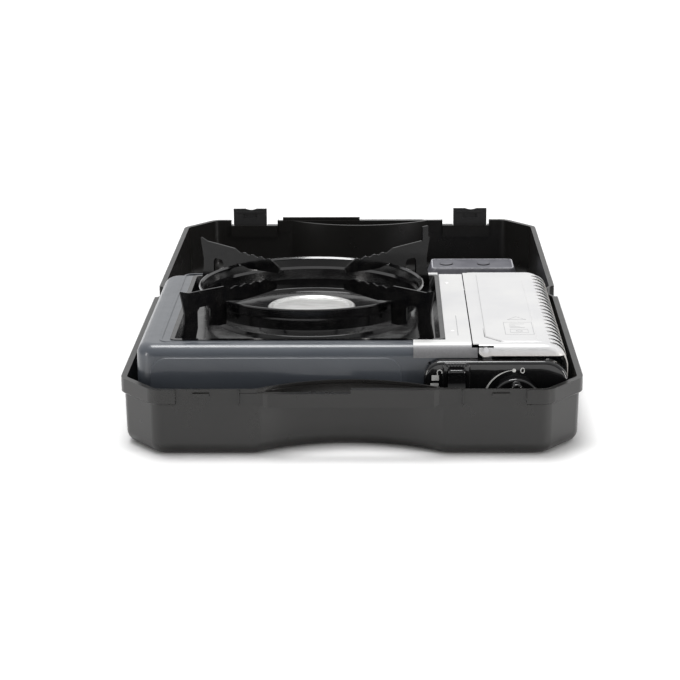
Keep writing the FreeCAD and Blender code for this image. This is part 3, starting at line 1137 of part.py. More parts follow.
def make_lock_rail():
    """Flat bar beside the bay: its slanted slot turns the lever's travel into the push."""
    x = (RAIL_X, RAIL_X + RAIL_SHEET)
    low, high = RAIL_Z, RAIL_Z + RAIL_HIGH
    front = CAM_Y - 6
    bar = box(x, (front, PUSHER_Y + PUSHER_FOOT), (low, high))
    upright = box(x, (front, CAM_Y + 12), (low, LEVER_Z + 6))
    radius = CAM_PIN + CAM_SLIP
    run = math.hypot(PUSH_TRAVEL, LEVER_TRAVEL)
    slot = box((x[0] - 1, x[1] + 1), (-radius, radius), (-run, 0))
    ends = [rod((x[0] - 1, 0, z), (1, 0, 0), radius, RAIL_SHEET + 2) for z in (0, -run)]
    slot = joined([slot] + ends)
    slot.rotate(V(0, 0, 0), V(1, 0, 0), math.degrees(math.atan2(PUSH_TRAVEL, LEVER_TRAVEL)))
    slot.translate(V(0, CAM_Y, LEVER_Z))
    cross = box((x[0], CARTRIDGE_X + PUSHER_HALF), (PUSHER_Y, PUSHER_Y + PUSHER_FOOT),
                (low, low + RAIL_SHEET))
    return joined([bar, upright, cross]).cut(slot)


def make_pusher():
    """Plate that pushes the cartridge forward, standing on the rail's cross piece."""
    low = RAIL_Z + RAIL_SHEET
    plate = rounded((CARTRIDGE_X - PUSHER_HALF, CARTRIDGE_X + PUSHER_HALF), (low, CARTRIDGE_Z + 8),
                    [1.0, 1.0, 8.0, 8.0], RAIL_SHEET)
    plate = facing_front(plate, PUSHER_Y + RAIL_SHEET)
    foot = box((CARTRIDGE_X - PUSHER_HALF, CARTRIDGE_X + PUSHER_HALF),
               (PUSHER_Y, PUSHER_Y + PUSHER_FOOT), (low, low + RAIL_SHEET))
    pad = rod((CARTRIDGE_X, PUSHER_Y, CARTRIDGE_Z), (0, -1, 0), 6, 1.2)
    return joined([plate, foot, pad])


def make_cradle():
    """Two saddles on a strip, which hold the cartridge in line with the regulator."""
    x = (CARTRIDGE_X - CRADLE_HALF, CARTRIDGE_X + CRADLE_HALF)
    start = REGULATOR_END + CRADLE_START
    ys = (start, start + CRADLE_GAP)
    strip = box((CARTRIDGE_X - 6, CARTRIDGE_X + 6), (ys[0] - 8, ys[1] + 8),
                (STOVE_FLOOR, STOVE_FLOOR + 0.7))
    saddles = [box(x, (y, y + RAIL_SHEET), (STOVE_FLOOR, STOVE_FLOOR + CRADLE_HIGH)) for y in ys]
    hollow = rod((CARTRIDGE_X, -400, CARTRIDGE_Z), (0, 1, 0), CARTRIDGE_RADIUS + 0.4, 400)
    return joined([strip] + saddles).cut(hollow)


def make_knob():
    """Control knob: skirted disc with a tapered grip bar and a finger flute each side."""
    back = PANEL_FACE - KNOB_SLIP
    disc = rod((KNOB_X, back, KNOB_Z), (0, -1, 0), KNOB_RADIUS, KNOB_DISC)
    rims = [e for e in disc.Edges if e.BoundBox.YMax < back - KNOB_DISC + 0.01]
    disc = disc.makeFillet(KNOB_EDGE, rims)
    bar = rounded((KNOB_X - GRIP_BAR / 2, KNOB_X + GRIP_BAR / 2),
                  (KNOB_Z - KNOB_RADIUS + 1.5, KNOB_Z + KNOB_RADIUS - 1.5), [4.0] * 4, KNOB_DEEP)
    edges = [e for e in bar.Edges if e.BoundBox.ZMin > KNOB_DEEP - 0.01]
    bar = facing_front(bar.makeFillet(1.8, edges), back)
    index = box((KNOB_X - 0.6, KNOB_X + 0.6), (back - KNOB_DEEP - 1, back - KNOB_DEEP + 0.5),
                (KNOB_Z + 4, KNOB_Z + KNOB_RADIUS))
    bore = rod((KNOB_X, back + 1, KNOB_Z), (0, -1, 0), STEM_RADIUS, KNOB_DEEP - 4)
    return joined([disc, bar]).cut([index, bore])


# ---------------------------------------------------------------- fasteners
def make_casing_screws():
    """Screws up through the casing floor into the bracket and the cradle."""
    out = BRACKET_SIZE[0] / 2 + SCREW_OUT
    places = [(BURNER_X - out, BURNER_Y), (BURNER_X + out, BURNER_Y)]
    top = STOVE_FLOOR + BRACKET_SHEET
    return Part.makeCompound([screw(x, y, top, (0, 0, -1), 1.1) for x, y in places])


def make_panel_screws():
    """Screws through the casing's front into the panel, with their heads inside."""
    return Part.makeCompound([screw(x, y + 0.45, z, (0, -1, 0), 4.0) for x, y, z in panel_screw_places()])


# ---------------------------------------------------------------- the whole stove
def build_nodes():
    plain = tray()
    nodes = {
        "case_base": make_case_base(plain),
        "case_lid": make_case_lid(plain),
        "case_hinge_pins": make_hinge_pins(),
        "latch_left": make_latch(-1),
        "latch_right": make_latch(1),
        "latch_pins": make_latch_pins(),
        "stove_feet": make_stove_feet(),
        "lower_casing": make_lower_casing(),
        "top_plate": make_top_plate(),
        "deck_plate": make_deck_plate(),
        "heat_wall": make_partition(),
        "cartridge_cover": make_cover(),
        "cover_hinges": make_cover_hinges(),
        "drip_pan": make_drip_pan(),
        "trivet_ring": make_trivet_ring(),
        "burner_cap": make_burner_cap(),
        "burner_port_ring": make_port_ring(),
        "burner_bowl": make_burner_bowl(),
        "mixing_tube": make_mixing_tube(),
        "burner_bracket": make_bracket(),
        "gas_jet": make_gas_jet(),
        "gas_pipe": make_gas_pipe(),
        "regulator": make_regulator(),
        "regulator_nozzle": make_nozzle(),
        "nozzle_seal": make_nozzle_seal(),
        "valve_stem": make_valve_stem(),
        "piezo_igniter": make_igniter(),
        "electrode_insulator": make_insulator(),
        "spark_electrode": make_electrode(),
        "ignition_lead": make_ignition_lead(),
        "control_panel": make_control_panel(),
        "control_knob": make_knob(),
        "lock_lever": make_lock_lever(),
        "lock_rail": make_lock_rail(),
        "cartridge_pusher": make_pusher(),
        "cartridge_cradle": make_cradle(),
        "burner_screws": make_casing_screws(),
        "panel_screws": make_panel_screws(),
    }
    names = ("back_right", "back_left", "front_left", "front_right")
    for i, name in enumerate(names):
        nodes["trivet_arm_" + name] = make_trivet_arm(45 + 90 * i, name == "back_right")
    return nodes


os.makedirs("parts", exist_ok=True)
for node, shape in build_nodes().items():
    shape.exportStep("parts/" + node + ".step")
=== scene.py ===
# A camping stove standing in the base of its carry case, with the lid laid open behind it.
# The CAD pieces give the metal and plastic their shape. This script gives them their finishes
# and adds the mouldings, marks and small pressings. Sizes are in metres, in the CAD frame.

import bmesh
import bpy
import math
from mathutils import Matrix, Vector


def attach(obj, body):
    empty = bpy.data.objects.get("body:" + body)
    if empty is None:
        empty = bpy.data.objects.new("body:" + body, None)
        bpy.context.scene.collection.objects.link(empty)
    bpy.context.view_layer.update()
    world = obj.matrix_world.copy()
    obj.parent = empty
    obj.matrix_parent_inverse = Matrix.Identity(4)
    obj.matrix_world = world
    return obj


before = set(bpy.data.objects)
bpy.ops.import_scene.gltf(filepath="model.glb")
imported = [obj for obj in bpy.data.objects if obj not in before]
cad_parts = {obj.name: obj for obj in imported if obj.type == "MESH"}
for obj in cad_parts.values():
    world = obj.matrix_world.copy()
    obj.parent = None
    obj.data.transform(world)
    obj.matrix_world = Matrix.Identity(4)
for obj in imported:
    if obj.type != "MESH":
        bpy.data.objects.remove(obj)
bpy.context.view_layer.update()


# ---------------------------------------------------------------- studio
# A pale seamless floor under a white sky. A soft sun stands a little behind the stove, and a low
# strip light on each side brightens the case's ends. The camera looks down on the stove's front.

STRIP = (0.3, 0.7)
STRIP_AIM = Vector((0.0, -0.3, 0.03))
STRIP_COLOUR = (1.0, 0.98, 0.96)
for name, place, power in (("left_light", (-1.7, -1.3, 0.35), 7.0),
                           ("right_light", (1.7, -1.1, 0.35), 12.0)):
    lamp = bpy.data.lights.new(name, "AREA")
    lamp.shape = "RECTANGLE"
    lamp.size, lamp.size_y = STRIP
    lamp.energy = power
    lamp.color = STRIP_COLOUR
    holder = bpy.data.objects.new(name, lamp)
    bpy.context.scene.collection.objects.link(holder)
    holder.location = place
    holder.visible_camera = False
    holder.rotation_euler = (STRIP_AIM - Vector(place)).to_track_quat("-Z", "Y").to_euler()

SUN_FROM = Vector((-0.12, 0.16, 1.0))
sun = bpy.data.lights.new("key_light", "SUN")
sun.energy = 1.9
sun.angle = math.radians(26.0)
key_light = bpy.data.objects.new("key_light", sun)
key_light.rotation_euler = SUN_FROM.to_track_quat("Z", "Y").to_euler()
bpy.context.scene.collection.objects.link(key_light)

# The sky is bright behind the stove and overhead, and dim on the camera's side.
BRIGHT_WAY = (0.0, 0.45, 1.0)
sky = bpy.data.worlds.new("white_room")
sky.use_nodes = True
sky_nodes, sky_links = sky.node_tree.nodes, sky.node_tree.links
sky_nodes["Background"].inputs["Color"].default_value = (1.0, 1.0, 1.0, 1.0)
toward = sky_nodes.new("ShaderNodeTexCoord")
lean = sky_nodes.new("ShaderNodeVectorMath")
lean.operation = "DOT_PRODUCT"
lean.inputs[1].default_value = BRIGHT_WAY
sky_links.new(toward.outputs["Generated"], lean.inputs[0])
fade = sky_nodes.new("ShaderNodeMapRange")
fade.inputs["From Min"].default_value = -0.4
fade.inputs["From Max"].default_value = 1.0
fade.inputs["To Min"].default_value = 0.12
fade.inputs["To Max"].default_value = 0.95
sky_links.new(lean.outputs["Value"], fade.inputs["Value"])
sky_links.new(fade.outputs["Result"], sky_nodes["Background"].inputs["Strength"])
bpy.context.scene.world = sky
bpy.context.scene.view_settings.view_transform = "Standard"

FLOOR_HALF = 9.0
FLOOR_CELLS = 12
FLOOR_DROP = 0.0004
floor_form = bmesh.new()
bmesh.ops.create_grid(floor_form, x_segments=FLOOR_CELLS, y_segments=FLOOR_CELLS, size=FLOOR_HALF)
floor_mesh = bpy.data.meshes.new("studio_floor")
floor_form.to_mesh(floor_mesh)
floor_form.free()
floor = bpy.data.objects.new("studio_floor", floor_mesh)
floor.location.z = -FLOOR_DROP
bpy.context.scene.collection.objects.link(floor)
floor_paint = bpy.data.materials.new("floor_paint")
floor_paint.use_nodes = True
floor_shader = floor_paint.node_tree.nodes["Principled BSDF"]
floor_shader.inputs["Base Color"].default_value = (0.93, 0.93, 0.93, 1.0)
floor_shader.inputs["Roughness"].default_value = 0.6
floor_shader.inputs["Specular IOR Level"].default_value = 0.2
floor_mesh.materials.append(floor_paint)

CAMERA_PLACE = Vector((0.02853, -1.97516, 0.55039))
PITCH, TURN, ROLL = math.radians(15.343), math.radians(1.287), math.radians(-0.42)
camera_data = bpy.data.cameras.new("camera")
camera_data.sensor_width = 36.0
camera_data.lens = 111.6
camera = bpy.data.objects.new("camera", camera_data)
bpy.context.scene.collection.objects.link(camera)
ahead = Vector((-math.sin(TURN) * math.cos(PITCH), math.cos(TURN) * math.cos(PITCH), -math.sin(PITCH)))
across = Vector((math.cos(TURN), math.sin(TURN), 0.0))
above = across.cross(ahead)
right = across * math.cos(ROLL) + above * math.sin(ROLL)
upward = above * math.cos(ROLL) - across * math.sin(ROLL)
aim = Matrix((right, upward, -ahead)).transposed().to_4x4()
camera.matrix_world = Matrix.Translation(CAMERA_PLACE) @ aim
bpy.context.scene.camera = camera


# ---------------------------------------------------------------- case trays
# Both halves of the case are moulded in black plastic with a fine spark-eroded grain. The grain
# and slight sink marks are in the surface; the colour is a little browner where it is worn.

def finish(name, colour, roughness, metallic=0.0, coat=0.0, coat_roughness=0.05, specular=0.5):
    """A shader on its own material; returns (material, shader, object coordinates)."""
    material = bpy.data.materials.new(name)
    material.use_nodes = True
    shader = material.node_tree.nodes["Principled BSDF"]
    shader.inputs["Base Color"].default_value = (*colour, 1.0)
    shader.inputs["Roughness"].default_value = roughness
    shader.inputs["Metallic"].default_value = metallic
    shader.inputs["Coat Weight"].default_value = coat
    shader.inputs["Coat Roughness"].default_value = coat_roughness
    shader.inputs["Specular IOR Level"].default_value = specular
    place = material.node_tree.nodes.new("ShaderNodeTexCoord")
    return material, shader, place.outputs["Object"]


def noise(material, place, size, detail=2.0, stretch=(1.0, 1.0, 1.0)):
    """Noise whose grain is about size metres across, as a 0 to 1 value."""
    tree = material.node_tree
    spread = tree.nodes.new("ShaderNodeMapping")
    spread.inputs["Scale"].default_value = stretch
    tree.links.new(place, spread.inputs["Vector"])
    grain = tree.nodes.new("ShaderNodeTexNoise")
    grain.inputs["Scale"].default_value = 1.0 / size
    grain.inputs["Detail"].default_value = detail
    tree.links.new(spread.outputs["Vector"], grain.inputs["Vector"])
    return grain.outputs["Fac"]


def blend_colour(material, shader, amount, first, second, low=0.35, high=0.65):
    """Base colour that goes from first to second as amount goes from low to high."""
    ramp = material.node_tree.nodes.new("ShaderNodeValToRGB")
    ramp.color_ramp.elements[0].position = low
    ramp.color_ramp.elements[1].position = high
    ramp.color_ramp.elements[0].color = (*first, 1.0)
    ramp.color_ramp.elements[1].color = (*second, 1.0)
    material.node_tree.links.new(amount, ramp.inputs["Fac"])
    material.node_tree.links.new(ramp.outputs["Color"], shader.inputs["Base Color"])


def vary_roughness(material, shader, amount, low, high):
    spread = material.node_tree.nodes.new("ShaderNodeMapRange")
    spread.inputs["To Min"].default_value = low
    spread.inputs["To Max"].default_value = high
    material.node_tree.links.new(amount, spread.inputs["Value"])
    material.node_tree.links.new(spread.outputs["Result"], shader.inputs["Roughness"])


def raise_surface(material, shader, heights, coat=False):
    """Bump from (value, depth in metres) pairs, laid one on the other."""
    normal = None
    for value, depth in heights:
        bump = material.node_tree.nodes.new("ShaderNodeBump")
        bump.inputs["Strength"].default_value = 1.0
        bump.inputs["Distance"].default_value = depth
        material.node_tree.links.new(value, bump.inputs["Height"])
        if normal is not None:
            material.node_tree.links.new(normal, bump.inputs["Normal"])
        normal = bump.outputs["Normal"]
    material.node_tree.links.new(normal, shader.inputs["Normal"])
    if coat:
        material.node_tree.links.new(normal, shader.inputs["Coat Normal"])


def dress(material, *nodes):
    """Gives CAD nodes their finish."""
    for node in nodes:
        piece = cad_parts[node]
        piece.data.materials.clear()
        piece.data.materials.append(material)


case_plastic, case_shader, case_place = finish("case_plastic", (0.011, 0.0105, 0.01), 0.3)
sink_marks = noise(case_plastic, case_place, 0.09, 2.0)
grain = noise(case_plastic, case_place, 0.0007, 1.0)
blend_colour(case_plastic, case_shader, sink_marks, (0.010, 0.0096, 0.009), (0.0135, 0.0128, 0.012))
vary_roughness(case_plastic, case_shader, noise(case_plastic, case_place, 0.02, 4.0), 0.24, 0.34)
raise_surface(case_plastic, case_shader, [(sink_marks, 0.0004), (grain, 0.00002)])
dress(case_plastic, "case_base", "case_lid")


# ---------------------------------------------------------------- latches and case pins
# The two clips are moulded in a slightly greyer plastic than the trays. They turn on steel pins.

latch_plastic, latch_shader, latch_place = finish("latch_plastic", (0.03, 0.03, 0.031), 0.38)
vary_roughness(latch_plastic, latch_shader, noise(latch_plastic, latch_place, 0.006, 4.0), 0.32, 0.46)
raise_surface(latch_plastic, latch_shader, [(noise(latch_plastic, latch_place, 0.0006, 1.0), 0.00002)])
dress(latch_plastic, "latch_left", "latch_right")

pin_steel, pin_shader, pin_place = finish("pin_steel", (0.55, 0.55, 0.56), 0.3, metallic=1.0)
turning = noise(pin_steel, pin_place, 0.0012, 3.0, stretch=(0.2, 1.0, 1.0))
vary_roughness(pin_steel, pin_shader, turning, 0.22, 0.42)
raise_surface(pin_steel, pin_shader, [(turning, 0.00001)])
dress(pin_steel, "case_hinge_pins", "latch_pins", "cover_hinges", "valve_stem", "spark_electrode",
      "burner_screws", "panel_screws")


# ---------------------------------------------------------------- painted plate
# The stove's top and front are one steel pressing in gloss blue-grey enamel paint. The paint has
# a faint orange-peel ripple and a clear gloss over it.

plate_paint, plate_shader, plate_place = finish("plate_paint", (0.062, 0.07, 0.084), 0.3,
                                                coat=0.35, coat_roughness=0.06)
cloud = noise(plate_paint, plate_place, 0.06, 3.0)
blend_colour(plate_paint, plate_shader, cloud, (0.058, 0.066, 0.08), (0.067, 0.076, 0.09))
vary_roughness(plate_paint, plate_shader, noise(plate_paint, plate_place, 0.012, 4.0), 0.26, 0.38)
peel = noise(plate_paint, plate_place, 0.0035, 1.0)
raise_surface(plate_paint, plate_shader, [(cloud, 0.0003), (peel, 0.000012)], coat=True)
dress(plate_paint, "top_plate")

casing_paint, casing_shader, casing_place = finish("casing_paint", (0.05, 0.058, 0.068), 0.4, coat=0.4)
casing_peel = noise(casing_paint, casing_place, 0.003, 2.0)
vary_roughness(casing_paint, casing_shader, casing_peel, 0.34, 0.5)
raise_surface(casing_paint, casing_shader, [(casing_peel, 0.00002)])
dress(casing_paint, "lower_casing")


# ---------------------------------------------------------------- bright plate and cover
# Deck plate and cartridge cover are pressed from silver-coated steel with a satin finish. Rolling
# lines run along Y. The coating is warmer in patches. Below the fold of the lips the colour turns to a
# darker, speckled lip tone: painted shade on the front-facing lips.

DECK_LEVEL = 0.084
RGB_MIX = {"first": 6, "second": 7, "result": 2}
# Each lip tone is a painted shade colour for that plate's turned-down front lip.
for steel_name, fold, lip_shade_tone, nodes in (
        ("deck_steel", 0.0012, (0.2, 0.2, 0.206), ("deck_plate",)),
        ("cover_steel", 0.0072, (0.6, 0.575, 0.54), ("cartridge_cover",))):
    bright_steel, bright_shader, bright_place = finish(steel_name, (0.68, 0.68, 0.68), 0.44, metallic=0.4)
    steel_nodes, steel_links = bright_steel.node_tree.nodes, bright_steel.node_tree.links
    patches = noise(bright_steel, bright_place, 0.05, 3.0)
    speckle = noise(bright_steel, bright_place, 0.0015, 2.0)
    rolling = noise(bright_steel, bright_place, 0.0009, 3.0, stretch=(1.0, 0.03, 1.0))
    blend_colour(bright_steel, bright_shader, patches, (0.66, 0.66, 0.667), (0.71, 0.708, 0.703))
    upper = bright_shader.inputs["Base Color"].links[0].from_socket
    levels = steel_nodes.new("ShaderNodeSeparateXYZ")
    steel_links.new(bright_place, levels.inputs["Vector"])
    # Below the lips' fold the steel's own colour gives way to the lip tone: painted shade, not a different
    # coating.
    lip_shade_mask = steel_nodes.new("ShaderNodeMapRange")
    lip_shade_mask.inputs["From Min"].default_value = DECK_LEVEL - fold * 0.6
    lip_shade_mask.inputs["From Max"].default_value = DECK_LEVEL - fold * 1.6
    steel_links.new(levels.outputs["Z"], lip_shade_mask.inputs["Value"])
    lip_shade_colour = steel_nodes.new("ShaderNodeValToRGB")
    lip_shade_colour.color_ramp.elements[0].color = (*[tone * 0.85 for tone in lip_shade_tone], 1.0)
    lip_shade_colour.color_ramp.elements[1].color = (*[tone * 1.15 for tone in lip_shade_tone], 1.0)
    steel_links.new(speckle, lip_shade_colour.inputs["Fac"])
    lip_shade_mix = steel_nodes.new("ShaderNodeMix")
    lip_shade_mix.data_type = "RGBA"
    steel_links.new(lip_shade_mask.outputs["Result"], lip_shade_mix.inputs["Factor"])
    steel_links.new(upper, lip_shade_mix.inputs[RGB_MIX["first"]])
    steel_links.new(lip_shade_colour.outputs["Color"], lip_shade_mix.inputs[RGB_MIX["second"]])
    steel_links.new(lip_shade_mix.outputs[RGB_MIX["result"]], bright_shader.inputs["Base Color"])
    vary_roughness(bright_steel, bright_shader, patches, 0.4, 0.5)
    raise_surface(bright_steel, bright_shader, [(patches, 0.0002), (rolling, 0.000006)])
    dress(bright_steel, *nodes)


# ---------------------------------------------------------------- drip pan and trivet
# Pan, ring and arms are steel fired with black glass enamel. It is glossy, slightly wavy, and
# has the small pinholes and greyer bloom of fired enamel.

for batch, shine, nodes in (
        ("pan_enamel", 0.5, ("drip_pan",)),
        ("ring_enamel", 0.9, ("trivet_ring",)),
        ("arm_enamel", 0.18, ("trivet_arm_back_right", "trivet_arm_back_left",
                              "trivet_arm_front_left", "trivet_arm_front_right"))):
    enamel, enamel_shader, enamel_place = finish(batch, (0.004, 0.004, 0.0045), 0.12, specular=shine)
    waves = noise(enamel, enamel_place, 0.03, 2.0)
    bloom = noise(enamel, enamel_place, 0.008, 5.0)
    pinholes = noise(enamel, enamel_place, 0.0011, 1.0)
    blend_colour(enamel, enamel_shader, bloom, (0.003, 0.003, 0.0035), (0.007, 0.0068, 0.0068))
    vary_roughness(enamel, enamel_shader, bloom, 0.09, 0.2)
    raise_surface(enamel, enamel_shader, [(waves, 0.0004), (pinholes, 0.000012)])
    dress(enamel, *nodes)


# ---------------------------------------------------------------- burner
# The cap is pressed bright steel with a satin brushed dome. The port ring and the bowl are cast
# aluminium, with a dull pitted skin.

cap_steel, cap_shader, cap_place = finish("cap_steel", (0.66, 0.66, 0.65), 0.36, metallic=0.9)
brushing = noise(cap_steel, cap_place, 0.0008, 3.0, stretch=(0.05, 1.0, 1.0))
blend_colour(cap_steel, cap_shader, brushing, (0.5, 0.5, 0.49), (0.8, 0.8, 0.79))
vary_roughness(cap_steel, cap_shader, brushing, 0.3, 0.46)
raise_surface(cap_steel, cap_shader, [(brushing, 0.000015)])
dress(cap_steel, "burner_cap")

cast_aluminium, cast_shader, cast_place = finish("cast_aluminium", (0.5, 0.5, 0.5), 0.5, metallic=1.0)
pits = noise(cast_aluminium, cast_place, 0.0012, 4.0)
blend_colour(cast_aluminium, cast_shader, pits, (0.38, 0.38, 0.38), (0.56, 0.56, 0.56))
vary_roughness(cast_aluminium, cast_shader, pits, 0.45, 0.65)
raise_surface(cast_aluminium, cast_shader, [(pits, 0.0001)])
dress(cast_aluminium, "burner_port_ring", "burner_bowl", "regulator")


# ---------------------------------------------------------------- controls
# The panel, its knob and its lever are moulded in gloss black plastic.

gloss_black, gloss_shader, gloss_place = finish("gloss_black", (0.007, 0.007, 0.0075), 0.2,
                                                   coat=1.0, coat_roughness=0.03, specular=0.2)
gloss_waves = noise(gloss_black, gloss_place, 0.02, 2.0)
vary_roughness(gloss_black, gloss_shader, noise(gloss_black, gloss_place, 0.005, 4.0), 0.13, 0.22)
raise_surface(gloss_black, gloss_shader, [(gloss_waves, 0.00012)], coat=True)
dress(gloss_black, "control_panel", "control_knob", "lock_lever")


# ---------------------------------------------------------------- printed marks
# White ink on the panel: a scale that widens round the knob, a dot and a nought at its closed end,
# an open padlock and a block beside the lever. The cover has a small etched pictogram.

def ribbon(form, lay, middle, widths, thick, closed=False):
    """A flat strip along the middle points; lay turns (across, up, out) into a place."""
    count = len(middle)
    rows = []
    for i, (u, v) in enumerate(middle):
        if closed:
            before, after = middle[i - 1], middle[(i + 1) % count]
        else:
            before, after = middle[max(i - 1, 0)], middle[min(i + 1, count - 1)]
        run = Vector((after[0] - before[0], after[1] - before[1])).normalized()
        side = Vector((-run.y, run.x)) * widths[i] / 2
        near, far = (u - side.x, v - side.y), (u + side.x, v + side.y)
        rows.append([form.verts.new(lay(a, b, out)) for out in (0.0, thick) for a, b in (near, far)])
    pairs = list(zip(rows, rows[1:] + rows[:1])) if closed else list(zip(rows, rows[1:]))
    for here, there in pairs:
        form.faces.new((here[2], here[3], there[3], there[2]))
        form.faces.new((here[0], there[0], there[1], here[1]))
        form.faces.new((here[0], here[2], there[2], there[0]))
        form.faces.new((here[1], there[1], there[3], here[3]))
    if not closed:
        for end in (rows[0], rows[-1]):
            form.faces.new((end[0], end[1], end[3], end[2]))


def round_points(centre, radius, start, stop, count):
    """Points on an arc from start to stop, in degrees; radius is one size or (across, up)."""
    wide, high = radius if isinstance(radius, tuple) else (radius, radius)
    angles = [math.radians(start + (stop - start) * i / (count - 1)) for i in range(count)]
    return [(centre[0] + wide * math.cos(a), centre[1] + high * math.sin(a)) for a in angles]


def settle(form, name, material, body):
    """Closes a piece: outward faces, its own object, its finish, and the body that it rides on."""
    bmesh.ops.recalc_face_normals(form, faces=form.faces)
    mesh = bpy.data.meshes.new(name)
    form.to_mesh(mesh)
    form.free()
    piece = bpy.data.objects.new(name, mesh)
    bpy.context.scene.collection.objects.link(piece)
    mesh.materials.append(material)
    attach(piece, body)
    return piece


def flat_at(level):
    """Lays a strip flat at a height, with across as X and up as Y."""
    return lambda x, y, out: Vector((x, y, level + out))


def on_panel(across, up, out):
    """Lays a strip on the panel's front."""
    return Vector((across, PANEL_FRONT - out, up))


INK = 0.00008
PANEL_FRONT = -0.301
white_ink, ink_shader, ink_place = finish("white_ink", (0.78, 0.78, 0.76), 0.5)
ink_wear = noise(white_ink, ink_place, 0.0012, 4.0)
blend_colour(white_ink, ink_shader, ink_wear, (0.6, 0.6, 0.585), (0.84, 0.84, 0.82), 0.3, 0.6)
vary_roughness(white_ink, ink_shader, ink_wear, 0.42, 0.6)
raise_surface(white_ink, ink_shader, [(ink_wear, 0.00001)])

KNOB_MIDDLE = (0.136, 0.0387)
SCALE_RADIUS, SCALE_STEPS = 0.0262, 45
SCALE_THIN, SCALE_SPREAD = 0.0004, 0.0022
scale_line = round_points(KNOB_MIDDLE, SCALE_RADIUS, 96.0, 228.0, SCALE_STEPS)
scale_widths = [SCALE_THIN + SCALE_SPREAD * i / (SCALE_STEPS - 1) for i in range(SCALE_STEPS)]
form = bmesh.new()
ribbon(form, on_panel, scale_line, scale_widths, INK)
settle(form, "knob_scale_mark", white_ink, "stove")

DOT, DOT_RADIUS, DOT_WIDTH, DOT_STEPS = (0.1345, 0.0646), 0.0008, 0.00155, 16
NOUGHT, NOUGHT_RADII, NOUGHT_STROKE, NOUGHT_STEPS = (0.1415, 0.0646), (0.0015, 0.0021), 0.0006, 30
form = bmesh.new()
dot_line = round_points(DOT, DOT_RADIUS, 0.0, 337.5, DOT_STEPS)
ribbon(form, on_panel, dot_line, [DOT_WIDTH] * DOT_STEPS, INK, True)
nought_line = round_points(NOUGHT, NOUGHT_RADII, 0.0, 348.0, NOUGHT_STEPS)
ribbon(form, on_panel, nought_line, [NOUGHT_STROKE] * NOUGHT_STEPS, INK, True)
settle(form, "closed_end_mark", white_ink, "stove")

PADLOCK_BODY, PADLOCK_HIGH = [(0.0665, 0.0583), (0.0725, 0.0583)], 0.0046
SHACKLE_MIDDLE, SHACKLE_RADIUS, SHACKLE_STROKE = (0.0731, 0.0632), 0.0019, 0.0008
SHACKLE_ENDS = ((0.0712, 0.0606), (0.0712, 0.0632)), (0.075, 0.062)
BLOCK, BLOCK_HIGH = [(0.0655, 0.0525), (0.0722, 0.0525)], 0.0026
form = bmesh.new()
ribbon(form, on_panel, PADLOCK_BODY, [PADLOCK_HIGH] * 2, INK)
shackle = list(SHACKLE_ENDS[0]) + round_points(SHACKLE_MIDDLE, SHACKLE_RADIUS, 180.0, 0.0, 12)
shackle.append(SHACKLE_ENDS[1])
ribbon(form, on_panel, shackle, [SHACKLE_STROKE] * len(shackle), INK)
ribbon(form, on_panel, BLOCK, [BLOCK_HIGH] * 2, INK)
settle(form, "open_padlock_mark", white_ink, "stove")

etched, etched_shader, etched_place = finish("etched_grey", (0.36, 0.36, 0.37), 0.5, metallic=0.6)
etched_wear = noise(etched, etched_place, 0.001, 4.0)
blend_colour(etched, etched_shader, etched_wear, (0.3, 0.3, 0.31), (0.46, 0.46, 0.47))
vary_roughness(etched, etched_shader, etched_wear, 0.42, 0.6)
raise_surface(etched, etched_shader, [(etched_wear, 0.00001)])

COVER_PAD_TOP = 0.0848
ARROW = [(0.1335, -0.213), (0.1415, -0.203), (0.1495, -0.213)]
FRAME = [(0.1295, -0.262), (0.1535, -0.262), (0.1535, -0.222), (0.1295, -0.222)]
WINDOW = [(0.134, -0.256), (0.149, -0.256), (0.149, -0.245), (0.134, -0.245)]
LINES = ((-0.2395, 0.147), (-0.2355, 0.143), (-0.2315, 0.139), (-0.2275, 0.147))
LINES_START, LINE_STROKE, THIN_STROKE = 0.134, 0.0005, 0.0004
RING, RING_RADIUS, RING_STEPS = (0.1415, -0.2505), 0.0026, 24
form = bmesh.new()
for outline, stroke in ((ARROW, LINE_STROKE), (FRAME, THIN_STROKE), (WINDOW, THIN_STROKE)):
    ribbon(form, flat_at(COVER_PAD_TOP), outline, [stroke] * len(outline), INK, True)
for y, end in LINES:
    ribbon(form, flat_at(COVER_PAD_TOP), [(LINES_START, y), (end, y)], [LINE_STROKE] * 2, INK)
ring_line = round_points(RING, RING_RADIUS, 0.0, 345.0, RING_STEPS)
ribbon(form, flat_at(COVER_PAD_TOP), ring_line, [THIN_STROKE] * RING_STEPS, INK, True)
settle(form, "cover_pictogram", etched, "cover")


# ---------------------------------------------------------------- cover pressings
# Each louvre is a slit in the cover's rolled edge with the metal behind it pushed up into a hood.
# The hoods follow the roll, and their mouths face forward. They are the cover's own steel.

ROLL_X, ROLL_RADIUS = 0.16, 0.02
COVER_FLAT = 0.084
LOUVRES, LOUVRE_PITCH, FIRST_LOUVRE = 20, 0.0124, -0.2803
LOUVRE_MIDDLE = 0.172
LOUVRE_SLANT = math.tan(math.radians(24.0))
HOOD_ARC = (math.radians(12.0), math.radians(72.0))
HOOD_HIGH, HOOD_LONG, HOOD_SHEET = 0.0018, 0.0068, 0.0004
HOOD_BEHIND = 0.0007
HOOD_ALONG, HOOD_BACK = 12, 5


def hood_point(middle, along, back, rise):
    """A point of a hood: along its slit and back from its mouth, both 0 to 1, and above the roll."""
    turn = HOOD_ARC[0] + (HOOD_ARC[1] - HOOD_ARC[0]) * along
    x, z = ROLL_X + ROLL_RADIUS * math.sin(turn), COVER_FLAT - ROLL_RADIUS * (1.0 - math.cos(turn))
    y = middle + (x - LOUVRE_MIDDLE) * LOUVRE_SLANT + HOOD_BEHIND + HOOD_LONG * back
    return Vector((x + rise * math.sin(turn), y, z + rise * math.cos(turn)))


